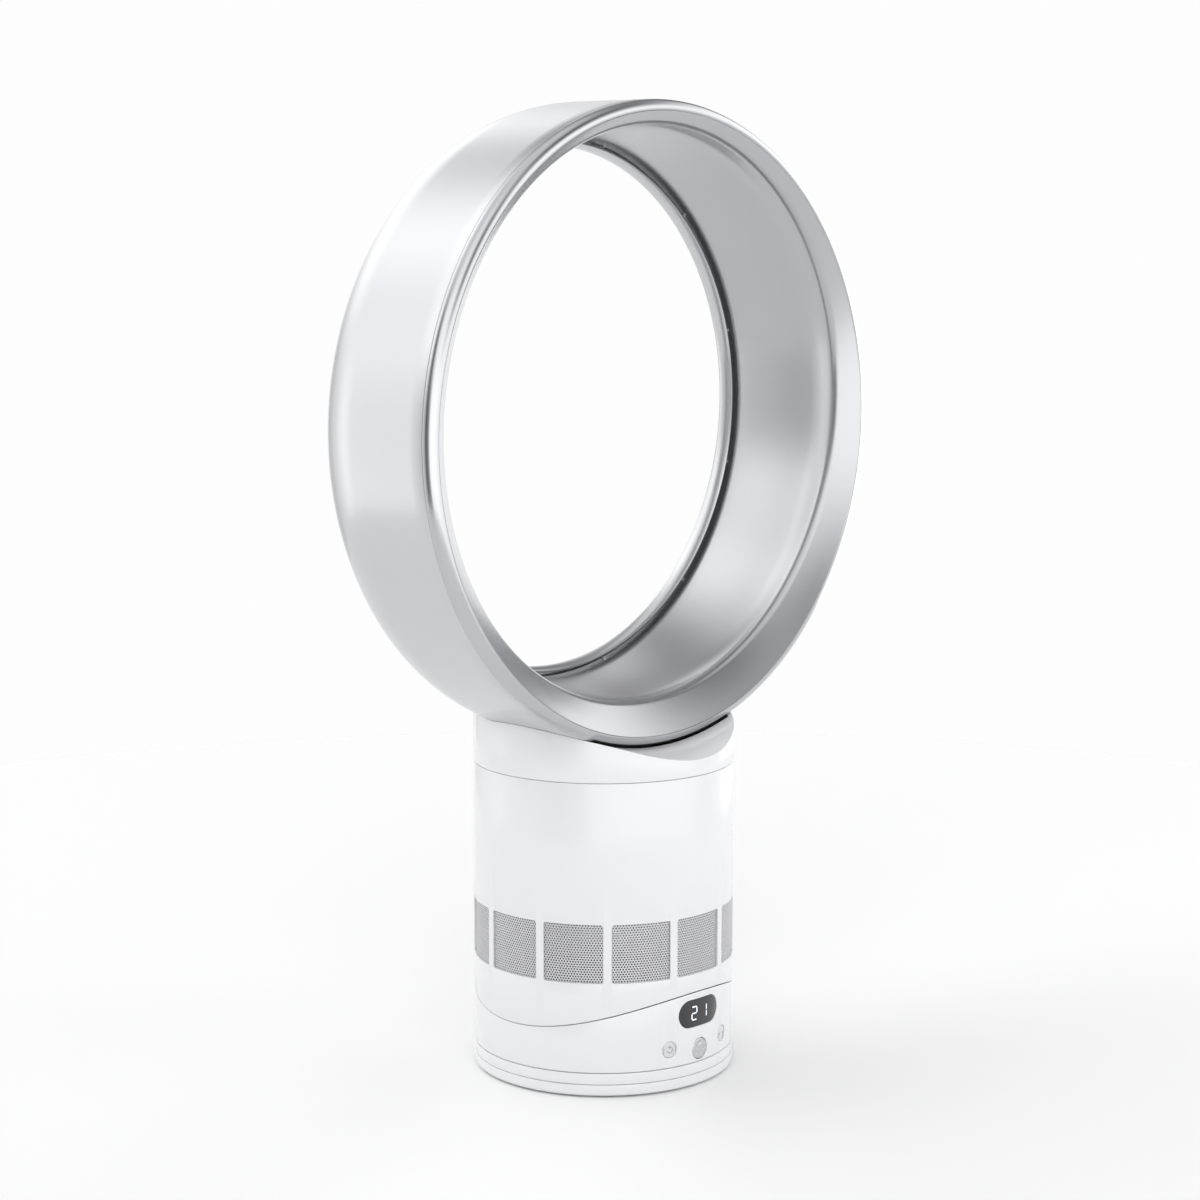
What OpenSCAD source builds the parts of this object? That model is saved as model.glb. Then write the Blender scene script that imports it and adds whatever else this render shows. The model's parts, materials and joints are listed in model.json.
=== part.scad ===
// Bladeless loop fan on a round column.
// Millimetres, +Z up. The origin is on the floor, on the column's axis. The fan faces -Y.
// Turned profiles of the loop are pairs of [radius, y], and those of the column are [radius, z].
// The column's radius and the overall height follow from the pieces stacked inside it.

/* [Column] */
// Wall of the column's outer shells
column_wall = 2.5; // [2:0.1:3]
// Gap between the impeller housing and the body shell
housing_gap = 11.5; // [10:0.5:15]
// Height of the split line in the foot
foot_split_h = 7.8; // [7.5:0.1:9]
// Height of the foot's top edge
foot_h = 14; // [13:0.1:17]
// Height of the tilt seam at the column's sides
tilt_seam_h = 37.5; // [36:0.5:44]
// Radius of the curved tilt seam
tilt_r = 167.3; // [150:1:190]
// Height of the neck, from its seam to the loop's lowest point
neck_h = 13.2; // [11:0.1:20]

/* [Intake] */
// Height of the windows' lower edge above the tilt seam's highest point
window_rise = 10.3; // [8:0.1:20]
// Height of a window
window_h = 33.3; // [28:0.1:40]
// Number of windows round the column
window_count = 12; // [8:1:16]
// Width of the rib between two windows
window_rib = 4.7; // [4:0.1:8]
// Number of slots in a window's grille panel
slot_rows = 8; // [4:1:9]
// Height of a grille slot
slot_h = 2.2; // [1.5:0.1:2.6]

/* [Loop] */
// Outer diameter of the loop
loop_d = 356; // [300:1:420]
// Reach of the loop ahead of the column's axis
loop_front = 48; // [42:0.5:54]
// Reach of the loop behind the column's axis
loop_rear = 45; // [40:0.5:52]
// Wall of the loop's casings
loop_wall = 2; // [1.6:0.1:2.4]
// Mean thickness of the loop's section at the rear lip
section_t = 26.5; // [23:0.5:31]
// How far the aperture's centre lies above the loop's centre
aperture_lift = 6; // [4:0.5:7]
// Gap of the air slot
slot_gap = 1.3; // [1:0.1:2]
// Radius of the polished rim round the front
rim_r = 6.2; // [5:0.1:7]
// Slope of the dished front face
face_angle = 36.5; // [30:0.5:42]

/* [Controls] */
// Width of the display lens
lens_w = 32; // [26:0.1:36]
// Height of the display lens
lens_h = 16; // [14:0.1:18]
// Depth of the lens's centre below the tilt seam's highest point
lens_drop = 12.2; // [11:0.1:13]
// Diameter of a push button
button_d = 9; // [7:0.1:10]
// Sideways place of the push buttons
button_x = 21.8; // [19:0.1:25]
// Height of the push buttons' centres above the base's lower edge
button_rise = 10.3; // [9:0.1:14]
// Travel of a push button
button_travel = 1; // [0.6:0.1:1.1]
// Diameter of the speed dial
dial_d = 12; // [10:0.1:14]
// Strip of shell left under the dial
dial_margin = 0.85; // [0.7:0.05:3]

/* [Motion] */
// Largest tilt each way
tilt_limit = 10; // [5:1:12]
// Teeth of the fixed oscillation gear
gear_teeth = 36; // [30:1:42]
// Teeth of the drive pinion
pinion_teeth = 12; // [12:1:16]
// Size of the gear teeth, as pitch diameter over teeth
gear_module = 1.25; // [1.05:0.05:1.45]

/* [Impeller] */
// Radius of the shroud's throat
throat_r = 38; // [34:0.5:44]
// Height of the impeller's shroud
shroud_h = 28; // [24:0.5:34]
// Width of the air passage round the motor bucket
passage_w = 14.5; // [12:0.5:18]
// Number of impeller blades
blade_count = 9; // [5:1:13]
// Number of fixed vanes over the impeller
vane_count = 11; // [7:1:15]
// Height of the fixed vanes
vane_h = 24; // [18:0.5:28]
// Radius of the motor shaft
shaft_r = 2.5; // [2:0.1:3]
// Radius of the rotor magnet
rotor_r = 14.3; // [12:0.1:17]
// Height of the stator
stator_h = 15; // [12:0.5:18]

/* [Hidden] */
$fn = 128;

// Colours, as the photograph shows the visible pieces
white = "#f2f3f4";
silver = "#c9cccf";
bright_silver = "#a9adb1";
near_black = "#16171a";
grille_grey = "#b4b7ba";
rubber_black = "#2b2c2e";
steel = "#8f9499";
board_green = "#2f6b46";
copper = "#b8743a";
plain_plastic = "#d9dadb";

// Overrun of cuts past a face, and of pieces of one solid into each other
over = 1;
// Gap between fixed pieces that slide together on the bench
fit = 0.1;
// Radial clearance of a running fit
run_fit = 0.05;

// Radii, from the motor outwards to the column's outside
rotor_gap = 0.7;
tooth_length = 13;
stator_yoke_t = 6;
stator_margin = 8;
bucket_wall = 2;
housing_wall = 2;
stator_bore_r = rotor_r + rotor_gap;
stator_r = stator_bore_r + tooth_length + stator_yoke_t;
bucket_r = stator_r + stator_margin + bucket_wall;
housing_r = bucket_r + passage_w;
housing_out_r = housing_r + housing_wall;
inner_r = housing_out_r + housing_gap;
column_r = inner_r + column_wall;
column_d = 2 * column_r;
// Radius of pieces seated inside the shells
seat_r = inner_r - fit;
// Chamfer along the shells' seams
seam_chamfer = 0.35;

// Values of the foot
pad_lift = 1;
foot_edge_r = 2;
cover_t = 2.4;
cover_floor_h = pad_lift + cover_t;
split_gap = 0.35;
foot_spigot_t = 1.6;
deck_t = 2;
deck_drop = 1.6;
deck_top_h = foot_h - deck_drop;
deck_low_h = deck_top_h - deck_t;
pad_r = 7;
pad_depth = 1.2;
pad_count = 5;
pad_inset = 14.5;
pad_ring_r = column_r - pad_inset;
boss_r = 3.6;
cover_screw_inset = 28.5;
cover_screw_ring_r = column_r - cover_screw_inset;
screw_r = 1.5;
screw_head_r = 2.9;
screw_head_h = 1.4;
ballast_t = 2;
ballast_rim = 7;
ballast_hole_r = 24;
gland_r = 3.4;
gland_bore_r = 2.4;
gland_length = 12;
gland_flange_r = 4.6;
gland_flange_t = 1.6;

// Values of the oscillation drive
osc_gap = 0.5;
base_low_h = foot_h + osc_gap;
turntable_lift = 1.5;
turntable_low_h = base_low_h + turntable_lift;
turntable_t = 2.5;
turntable_top_h = turntable_low_h + turntable_t;
thrust_inset = 12;
thrust_r = inner_r - thrust_inset;
thrust_w = 6;
thrust_gap = 0.2;
gear_gap = 0.4;
post_r = 11;
post_bore_r = 8;
post_flange_w = 4;
post_flange_r = post_r + post_flange_w;
post_flange_t = 2;
post_low_h = deck_low_h - post_flange_t;
bush_t = 2.35;
bush_r = post_r + run_fit + bush_t;
hub_t = 3;
hub_h = 6;
hub_r = bush_r + fit + hub_t;
bush_flange_t = 1;
clip_t = 1.2;
clip_depth = 1;
clip_w = 4;
clip_r = post_r + clip_w;
clip_mouth = 14;
post_cap = 1.4;
hub_top_h = turntable_low_h + hub_h;
clip_low_h = hub_top_h + bush_flange_t + thrust_gap;
post_top_h = clip_low_h + clip_t + post_cap;
gear_r = gear_teeth * gear_module / 2;
pinion_r = pinion_teeth * gear_module / 2;
drive_distance = gear_r + pinion_r;
addendum_share = 0.8;
dedendum_share = 1.12;
backlash_share = 0.2;
pressure_angle = 20;
pinion_shaft_r = 2.5;
pinion_shaft_h = 6;
pinion_hole_gap = 0.4;
motor_r = 17.5;
motor_offset = 10;
motor_y = drive_distance + motor_offset;
motor_edge = 1.5;
motor_top_gap = 3.5;
motor_ear_t = 2;
motor_ear_r = 4;
motor_ear_x = motor_r + motor_ear_r;

// Values of the tilt joint: its axis runs along X, above the column's middle
tilt_axis_z = tilt_seam_h + tilt_r;
seam_front_h = tilt_axis_z - sqrt(pow(tilt_r, 2) - pow(column_r, 2));
tilt_gap = 0.5;
base_top_r = tilt_r + tilt_gap / 2;
head_low_r = tilt_r - tilt_gap / 2;
plate_t = 2.5;
ceiling_r = base_top_r + plate_t;
rail_x = 30;
rail_w = 6;
rail_half = 23.3;
rail_angle = asin(rail_half / tilt_r);
rail_gap = 0.4;
keeper_w = 14;
keeper_t = 2.5;
keeper_top_r = ceiling_r + rail_gap;
keeper_low_r = keeper_top_r + keeper_t;
slot_spare_angle = 0.6;
keeper_screw_y = 15;
keeper_screw_angle = asin(keeper_screw_y / tilt_r);
keeper_screw_r = 1.2;
keeper_head_r = 2.1;
keeper_head_h = 1.2;
keeper_screw_length = 5;
pad_x = 48;
pad_w = 7;
pad_half = 23.3;
pad_sink = 1;
pad_gap = 0.2;
pad_angle = asin(pad_half / tilt_r);
wire_w = 14;
wire_angle = 4;
base_boss_r = 4;
base_boss_inset = 6.3;
base_boss_angle = 33;
base_screw_length = 9;

// Height of the underside of the base's top plate at a distance ahead of the axis or behind it
function ceiling_h(y) = tilt_axis_z - sqrt(pow(ceiling_r, 2) - pow(y, 2));
motor_top_h = ceiling_h(motor_y - motor_r) - motor_top_gap;

// Values of the controls, which lie behind the front of the base
lens_z = seam_front_h - lens_drop;
button_z = base_low_h + button_rise;
lens_gap = 0.15;
lens_sink = 0.1;
lens_cut = 5;
lens_block_w = 22;
lens_block_h = 10.5;
lens_block_t = 2.6;
lens_block_drop = 0.4;
lens_back_y = lens_block_t - inner_r;
board_t = 1.6;
board_w = 56;
board_depth = 14;
board_front_y = board_depth - column_r;
board_back_y = board_front_y + board_t;
board_lift = 0.1;
board_top_gap = 1.3;
board_top_h = ceiling_h(board_back_y) - board_top_gap;
display_gap = 0.1;
display_w = 24;
display_h = 6.4;
display_drop = 0.9;
button_gap = 0.2;
button_r = button_d / 2;
button_hole_r = button_r + button_gap;
button_boss_t = 2;
button_boss_back = 5.6;
button_flange_w = 1.5;
button_flange_r = button_r + button_flange_w;
button_flange_t = 1.2;
button_stem_r = 1.5;
button_boss_y = board_front_y - button_boss_back - button_gap;
button_flange_y = button_boss_y + button_gap;
button_sink = 0.15;
switch_h = 2;
switch_w = 6;
switch_gap = 0.1;
switch_face_y = board_front_y - switch_h;
stem_end_y = switch_face_y - switch_gap - button_travel;
dial_r = dial_d / 2;
dial_gap = 0.25;
dial_z = base_low_h + dial_margin + dial_gap + dial_r;
dial_sink = 0.25;
dial_t = 3.4;
dial_stem_r = 2;
dial_dimple_r = 1.5;
dial_dimple_place_share = 0.52;
dial_dimple_depth = 0.7;
encoder_w = 10.6;
encoder_t = 4;
encoder_bore_end = 0.8;
control_edge = 0.5;
notch_gap = 0.3;
notch_half = dial_r + dial_gap + button_boss_t + notch_gap;
stop_post_w = 6;
stop_post_t = 3;
stop_post_h = 8;
stop_post_x = board_w / 2 - stop_post_w;

// Values of the intake
window_low_h = seam_front_h + window_rise;
window_r = 1.5;
window_w = column_d * sin(180 / window_count) - window_rib;
grille_t = 1.2;
grille_recess = 1.2;
grille_margin = 3.2;
grille_low_h = window_low_h - grille_margin;
grille_high_h = window_low_h + window_h + grille_margin;
grille_r = column_r - grille_recess;
slot_margin = 2.6;
slot_pitch = (window_h - 2 * slot_margin - slot_h) / max(1, slot_rows - 1);
ledge_w = 2.4;
ledge_t = 2.5;
carriage_post_r = 4;
carriage_post_x = 40;
silencer_low_h = tilt_axis_z - sqrt(pow(head_low_r - plate_t, 2) - pow(inner_r, 2)) + fit;
silencer_t = 5;
silencer_hole_r = 12;
silencer_gap = 0.5;

// Values of the impeller, the motor and their housing, from the shroud's throat upwards
throat_drop = 14.6;
throat_h = window_low_h + window_h - throat_drop;
shroud_top_h = throat_h + shroud_h;
bell_h = 9;
bell_flare = 14;
bell_r = throat_r + bell_flare;
bell_steps = 8;
hub_setback = 2;
hub_low_h = throat_h + hub_setback;
hub_nose_r = 12;
hub_inset = 3;
hub_base_r = bucket_r - hub_inset;
tip_gap = 0.8;
blade_t = 1.6;
blade_angle = 38;
blade_margin = 1.5;
nut_r = 5;
nut_h = 4.5;
shaft_low_h = hub_low_h - nut_h;
bucket_gap = 2;
bucket_low_h = shroud_top_h + bucket_gap;
bearing_r = 6.6;
bearing_h = 5;
bearing_hub_t = 2.4;
bearing_shelf = 1.2;
stator_lift = 9;
stator_low_h = bucket_low_h + stator_lift;
stator_seat_t = 2;
split_rise = 10;
bucket_split_h = stator_low_h + split_rise;
tooth_count = 6;
tooth_w = 6;
coil_t = 2.2;
coil_gap = 0.15;
coil_spare = 1;
spider_t = 2;
spider_low_h = stator_low_h + stator_h + coil_t + coil_spare;
spider_hole_r = 9;
spider_hole_ring_r = (stator_r + bearing_r + bearing_hub_t) / 2;
shaft_top_h = spider_low_h + bearing_h;
board_post_h = 4;
board_post_r = 2.4;
board_post_count = 3;
motor_board_t = 1.6;
motor_board_bore_r = 13;
motor_board_low_h = spider_low_h + spider_t + board_post_h;
headroom = 5.2;
bucket_top_h = motor_board_low_h + motor_board_t + headroom;
vane_setback = 2;
vane_low_h = bucket_low_h + vane_setback;
vane_t = 1.6;
vane_angle = 22;
sleeve_t = 1.8;
housing_rise = 2;
housing_top_h = bucket_top_h + housing_rise;
flange_drop = 4;
flange_low_h = housing_top_h - flange_drop;
flange_t = 2.4;
flange_w = 7.5;
bush_h = 3;
bush_hole_r = 1.6;
bush_out_r = 3.2;
bush_count = 6;
bush_ring_r = housing_out_r + flange_w / 2;
mount_t = 3;
mount_gap = 1.4;
mount_low_h = flange_low_h - bush_h - mount_t;
seal_rise = 2;
seal_low_h = shroud_top_h + seal_rise;
seal_t = 5;
lip_seal_t = 3;
lip_seal_reach = 9.45;

// Values of the neck and its twist lock
spigot_gap = 6.1;
spigot_r = inner_r - spigot_gap;
spigot_wall = 2.9;
spigot_drop = 12.5;
spigot_low_h = housing_top_h + lip_seal_reach;
neck_low_h = spigot_low_h + spigot_drop;
seam_gap = 0.3;
neck_seam_h = neck_low_h - seam_gap / 2;
body_top_h = neck_low_h - seam_gap;
neck_floor_t = 2.4;
lug_w = 2.2;
lug_t = 2.6;
lug_angle = 40;
lug_count = 3;
lug_lift = 1.2;
lug_gap = 0.2;
collar_spare = 5.45;
collar_ledge_h = spigot_low_h - collar_spare;
collar_drop = 1.6;
collar_r = spigot_r + lug_w + lug_gap;
shoulder_rise = 4;
shoulder_power = 2.2;
rear_shoulder_power = 0.8;
rear_shoulder_inset = 5;
rear_shoulder_y = loop_rear - rear_shoulder_inset;
shoulder_steps = 8;
duct_inset = 7;
duct_r = spigot_r - spigot_wall - duct_inset;
duct_margin = 14;
duct_half = loop_front - duct_margin;

// Values of the loop's section
loop_r = loop_d / 2;
loop_z = neck_seam_h + neck_h + loop_r;
aperture_z = loop_z + aperture_lift;
nose_drop = 18;
nose_length = 33;
nose_r = loop_r - nose_drop;
nose_y = loop_rear - nose_length;
nose_steps = 14;
rim_y = rim_r - loop_front;
rim_inner_r = loop_r - rim_r;
rim_steps = 10;
skirt_length = 8;
skirt_t = 2.1;
lip_t = 1.7;
lip_tip_t = 0.8;
lip_round = 1.5;
lip_length = 9;
lip_taper = 3;
slot_overlap = 4;
throat_swell = 0.6;
throat_back = 8;
diffuser_rise = 5.5;
diffuser_back = 23.5;
guide_fall = 1.5;
guide_length = 13.5;
bend_rise_share = 0.25;
bend_place_share = 0.42;
lip_r = loop_r - section_t;
lip_tip_y = loop_rear - lip_length;
mouth_r = lip_r + lip_t + slot_gap;
mouth_y = lip_tip_y + slot_overlap;
swell_r = mouth_r - throat_swell;
swell_y = lip_tip_y - throat_back;
diffuser_r = mouth_r + diffuser_rise;
diffuser_y = diffuser_back - loop_front;
guide_r = diffuser_r - guide_fall;
guide_y = diffuser_y - guide_length;
face_slope = 1 / tan(face_angle);
face_wall = loop_wall * sqrt(1 + pow(face_slope, 2));
core_r = lip_r - 2 * section_t;
spacer_count = 12;
spacer_w = 1.5;
spacer_length = 3;
spacer_r = mouth_r - throat_swell * spacer_length / (mouth_y - swell_y);

// A tube about the column's axis
module tube(outer, inner, low, high) {
    difference() {
        translate([0, 0, low]) cylinder(r = outer, h = high - low);
        translate([0, 0, low - over]) cylinder(r = inner, h = high - low + 2 * over);
    }
}

// A solid turned about the column's axis from [radius, z] points
module turned(points) {
    rotate_extrude() polygon(points);
}

// A solid turned about an axis along Y at the height given, from [radius, y] points
module turned_along_y(height, points) {
    translate([0, 0, height]) rotate([-90, 0, 0]) rotate_extrude() polygon(points);
}

// A disc about the tilt axis, as wide as the column
module tilt_disc(radius, width = 2 * column_d) {
    translate([-width / 2, 0, tilt_axis_z]) rotate([0, 90, 0]) cylinder(r = radius, h = width);
}

// A block about the tilt axis: x range, radius range and half angle
module tilt_sector(x_low, x_high, r_low, r_high, angle) {
    reach = r_high + over;
    translate([x_low, 0, tilt_axis_z]) rotate([90, 0, 90]) intersection() {
        difference() {
            cylinder(r = r_high, h = x_high - x_low);
            translate([0, 0, -over]) cylinder(r = r_low, h = x_high - x_low + 2 * over);
        }
        linear_extrude(x_high - x_low)
            polygon([[0, 0], [reach * tan(angle), -reach], [-reach * tan(angle), -reach]]);
    }
}

// A flat rectangle with round corners, about the origin
module round_rect(width, height, radius) {
    square([width - 2 * radius, height], center = true);
    square([width, height - 2 * radius], center = true);
    for (sx = [-1, 1], sy = [-1, 1])
        translate([sx * (width / 2 - radius), sy * (height / 2 - radius)])
            circle(r = radius, $fn = 32);
}

// A flat shape in the XZ plane, extruded from one y to another
module along_y(y_low, y_high) {
    translate([0, y_high, 0]) rotate([90, 0, 0]) linear_extrude(y_high - y_low) children();
}

// A rod along Y at a place in the XZ plane
module rod_y(x, z, radius, y_low, y_high) {
    translate([x, y_low, z]) rotate([-90, 0, 0]) cylinder(r = radius, h = y_high - y_low, $fn = 48);
}

// A screw with its head down: the head's lower face is at the origin
module screw(shaft, head_r, head_h, length) {
    cylinder(r = head_r, h = head_h, $fn = 32);
    translate([0, 0, head_h]) cylinder(r = shaft, h = length, $fn = 32);
}

// Half the angle of a gear tooth at a radius
function involute(angle) = tan(angle) * 180 / PI - angle;
function tooth_half(teeth, radius) =
    let (pitch = teeth * gear_module / 2, base = pitch * cos(pressure_angle))
    90 / teeth * (1 - backlash_share) + involute(pressure_angle) - involute(acos(min(1, base / radius)));

// The outline of a gear, tooth by tooth
function gear_outline(teeth, steps = 5) =
    let (
        pitch = teeth * gear_module / 2,
        base = pitch * cos(pressure_angle),
        tip = pitch + addendum_share * gear_module,
        root = pitch - dedendum_share * gear_module,
        foot = max(base, root)
    )
    [for (tooth = [0 : teeth - 1], side = [-1, 1], step = [0 : steps])
        let (
            share = side < 0 ? step / steps : 1 - step / steps,
            radius = share == 0 ? root : foot + (tip - foot) * (share - 1 / steps) / (1 - 1 / steps),
            angle = 360 * tooth / teeth + side * tooth_half(teeth, max(radius, foot))
        )
        [radius * cos(angle), radius * sin(angle)]];

// FOOT: stands still on the floor

module bottom_cover() {
    color(white) difference() {
        union() {
            turned([
                [0, pad_lift], [column_r - foot_edge_r, pad_lift],
                for (step = [1 : 4]) [column_r - foot_edge_r + foot_edge_r * sin(step * 22.5),
                    pad_lift + foot_edge_r - foot_edge_r * cos(step * 22.5)],
                [column_r, foot_split_h - split_gap], [inner_r, foot_split_h - split_gap],
                [inner_r, cover_floor_h], [0, cover_floor_h]
            ]);
            tube(inner_r + over / 2, inner_r - foot_spigot_t, cover_floor_h - over,
                foot_split_h - split_gap);
            tube(seat_r, inner_r - foot_spigot_t, cover_floor_h, deck_low_h - fit);
        }
        for (k = [0 : pad_count - 1]) rotate(k * 360 / pad_count) {
            translate([0, pad_ring_r, pad_lift - over]) cylinder(r = pad_r + fit, h = pad_depth + over);
            rotate(180 / pad_count) translate([0, cover_screw_ring_r, pad_lift - over]) {
                cylinder(r = screw_head_r + fit, h = screw_head_h + over, $fn = 32);
                cylinder(r = screw_r + fit, h = cover_t + 2 * over, $fn = 32);
            }
        }
        rod_y(0, foot_split_h, gland_r + fit, column_r - gland_length - over, column_r + over);
        rod_y(0, foot_split_h, gland_flange_r + fit, column_r - gland_length - over, inner_r - over);
    }
}

module rubber_feet() {
    color(rubber_black) for (k = [0 : pad_count - 1])
        rotate(k * 360 / pad_count) translate([0, pad_ring_r, 0])
            cylinder(r = pad_r, h = pad_lift + pad_depth);
}

module ballast_plate() {
    color(steel) difference() {
        tube(inner_r - ballast_rim, ballast_hole_r, cover_floor_h, cover_floor_h + ballast_t);
        for (k = [0 : pad_count - 1]) rotate((k + 0.5) * 360 / pad_count)
            translate([0, cover_screw_ring_r, cover_floor_h - over])
                cylinder(r = boss_r + 2 * fit, h = ballast_t + 2 * over, $fn = 48);
        rod_y(0, foot_split_h, gland_flange_r + 2 * fit, column_r - gland_length - over, inner_r);
    }
}

module foot_shell() {
    color(white) difference() {
        union() {
            turned([
                [inner_r, foot_split_h], [column_r, foot_split_h], [column_r, foot_h - seam_chamfer],
                [column_r - seam_chamfer, foot_h], [inner_r, foot_h]
            ]);
            tube(inner_r + over, post_r + fit, deck_low_h, deck_top_h);
            for (k = [0 : pad_count - 1]) rotate((k + 0.5) * 360 / pad_count)
                translate([0, cover_screw_ring_r, cover_floor_h])
                    cylinder(r = boss_r, h = deck_low_h - cover_floor_h + over / 2, $fn = 48);
        }
        for (k = [0 : pad_count - 1]) rotate((k + 0.5) * 360 / pad_count)
            translate([0, cover_screw_ring_r, cover_floor_h - over])
                cylinder(r = screw_r, h = deck_low_h - cover_floor_h + over, $fn = 32);
        rod_y(0, foot_split_h, gland_r + fit, column_r - gland_length - over, column_r + over);
        rod_y(0, foot_split_h, gland_flange_r + fit, column_r - gland_length - over, inner_r - over);
    }
}

module cover_screws() {
    color(steel) for (k = [0 : pad_count - 1]) rotate((k + 0.5) * 360 / pad_count)
        translate([0, cover_screw_ring_r, pad_lift])
            screw(screw_r, screw_head_r, screw_head_h, deck_low_h - pad_lift - screw_head_h - fit);
}

module cord_gland() {
    color(rubber_black) difference() {
        union() {
            intersection() {
                rod_y(0, foot_split_h, gland_r, column_r - gland_length, column_r);
                translate([0, 0, foot_split_h - gland_r - over])
                    cylinder(r = column_r - fit, h = 2 * gland_r + 2 * over);
            }
            rod_y(0, foot_split_h, gland_flange_r, inner_r - over - fit - gland_flange_t,
                inner_r - over - fit);
        }
        rod_y(0, foot_split_h, gland_bore_r, column_r - gland_length - over, column_r + over);
    }
}

module pivot_post() {
    color(plain_plastic) difference() {
        union() {
            tube(post_r, post_bore_r, post_low_h, post_top_h);
            tube(post_flange_r, post_bore_r, post_low_h, deck_low_h);
        }
        tube(post_r + over, post_r - clip_depth, clip_low_h - run_fit, clip_low_h + clip_t + run_fit);
    }
}

module retaining_clip() {
    color(steel) difference() {
        tube(clip_r, post_r - clip_depth + run_fit, clip_low_h, clip_low_h + clip_t);
        translate([-clip_mouth / 2, 0, clip_low_h - over])
            cube([clip_mouth, clip_r + over, clip_t + 2 * over]);
    }
}

module oscillation_gear() {
    color(plain_plastic) difference() {
        translate([0, 0, deck_top_h]) linear_extrude(turntable_low_h - gear_gap - deck_top_h)
            polygon(gear_outline(gear_teeth));
        translate([0, 0, deck_top_h - over]) cylinder(r = post_r + run_fit, h = foot_h);
    }
}

module thrust_ring() {
    color(plain_plastic)
        tube(thrust_r, thrust_r - thrust_w, deck_top_h, turntable_low_h - thrust_gap);
}

// BASE: turns on the foot

// The base's outline, cut to the curved tilt seam
module base_block(radius, low, seam_r) {
    difference() {
        translate([0, 0, low]) cylinder(r = radius, h = tilt_axis_z - low);
        tilt_disc(seam_r);
    }
}

module base_boss_places() {
    for (side = [0, 180], turn = [-base_boss_angle, base_boss_angle])
        rotate(side + turn) translate([inner_r - base_boss_inset, 0, 0]) children();
}

module base_shell() {
    color(white) difference() {
        union() {
            difference() {
                base_block(column_r, base_low_h, base_top_r);
                base_block(inner_r, base_low_h - over, ceiling_r);
                turned([[column_r - seam_chamfer, base_low_h], [column_r + over, base_low_h - over],
                    [column_r + over, base_low_h + seam_chamfer + over]]);
            }
            intersection() {
                base_block(column_r - column_wall / 2, turntable_top_h, base_top_r + plate_t / 2);
                union() {
                    base_boss_places() cylinder(r = base_boss_r, h = tilt_axis_z, $fn = 48);
                    for (sx = [-1, 1]) rod_y(sx * button_x, button_z, button_hole_r + button_boss_t,
                        -column_r, button_boss_y);
                }
            }
            intersection() {
                base_block(column_r - column_wall / 2, base_low_h, base_top_r + plate_t / 2);
                rod_y(0, dial_z, dial_r + dial_gap + button_boss_t, -column_r, button_boss_y);
            }
        }
        base_boss_places() translate([0, 0, turntable_top_h - over])
            cylinder(r = screw_r, h = base_screw_length + over, $fn = 32);
        along_y(-column_r - over, lens_cut - inner_r) translate([0, lens_z])
            round_rect(lens_w, lens_h, lens_h / 2 - fit);
        for (sx = [-1, 1])
            rod_y(sx * button_x, button_z, button_hole_r, -column_r - over, button_boss_y + over);
        rod_y(0, dial_z, dial_r + dial_gap, -column_r - over, button_boss_y + over);
        for (sx = [-1, 1]) {
            x_rail = sx * rail_x - rail_w / 2 - rail_gap;
            tilt_sector(x_rail, x_rail + rail_w + 2 * rail_gap, base_top_r - over, ceiling_r + over,
                rail_angle + tilt_limit + slot_spare_angle);
            x_pad = sx * pad_x - pad_w / 2 - fit;
            tilt_sector(x_pad, x_pad + pad_w + 2 * fit, base_top_r - over, base_top_r + pad_sink,
                pad_angle + slot_spare_angle);
        }
        tilt_sector(-wire_w / 2, wire_w / 2, base_top_r - over, ceiling_r + over,
            tilt_limit + wire_angle);
    }
}

module slide_pads() {
    color(near_black) for (sx = [-1, 1])
        tilt_sector(sx * pad_x - pad_w / 2, sx * pad_x + pad_w / 2, base_top_r - tilt_gap + pad_gap,
            base_top_r + pad_sink, pad_angle);
}

module turntable() {
    color(plain_plastic) difference() {
        union() {
            tube(seat_r, bush_r + fit, turntable_low_h, turntable_top_h);
            tube(hub_r, bush_r + fit, turntable_low_h, hub_top_h);
            for (sx = [-1, 1])
                translate([sx * stop_post_x - stop_post_w / 2, board_back_y + fit, turntable_top_h - over])
                    cube([stop_post_w, stop_post_t, stop_post_h + over]);
        }
        translate([-notch_half, -column_r, turntable_low_h - over])
            cube([2 * notch_half, column_r + board_front_y, turntable_t + 2 * over]);
        translate([0, drive_distance, turntable_low_h - over])
            cylinder(r = pinion_shaft_r + pinion_hole_gap, h = turntable_t + 2 * over, $fn = 48);
        for (sx = [-1, 1]) translate([sx * motor_ear_x, motor_y, turntable_low_h - over])
            cylinder(r = screw_r, h = turntable_t + 2 * over, $fn = 32);
        base_boss_places() translate([0, 0, turntable_low_h - over]) {
            cylinder(r = screw_r + fit, h = turntable_t + 2 * over, $fn = 32);
            cylinder(r = screw_head_r + fit, h = screw_head_h + over, $fn = 32);
        }
    }
}

module turntable_screws() {
    color(steel) base_boss_places() translate([0, 0, turntable_low_h])
        screw(screw_r, screw_head_r, screw_head_h,
            turntable_t - screw_head_h + base_screw_length - over);
}

module pivot_bush() {
    color(near_black) {
        tube(bush_r, post_r + run_fit, turntable_low_h, hub_top_h);
        tube(hub_r, post_r + run_fit, hub_top_h, hub_top_h + bush_flange_t);
    }
}

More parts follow.
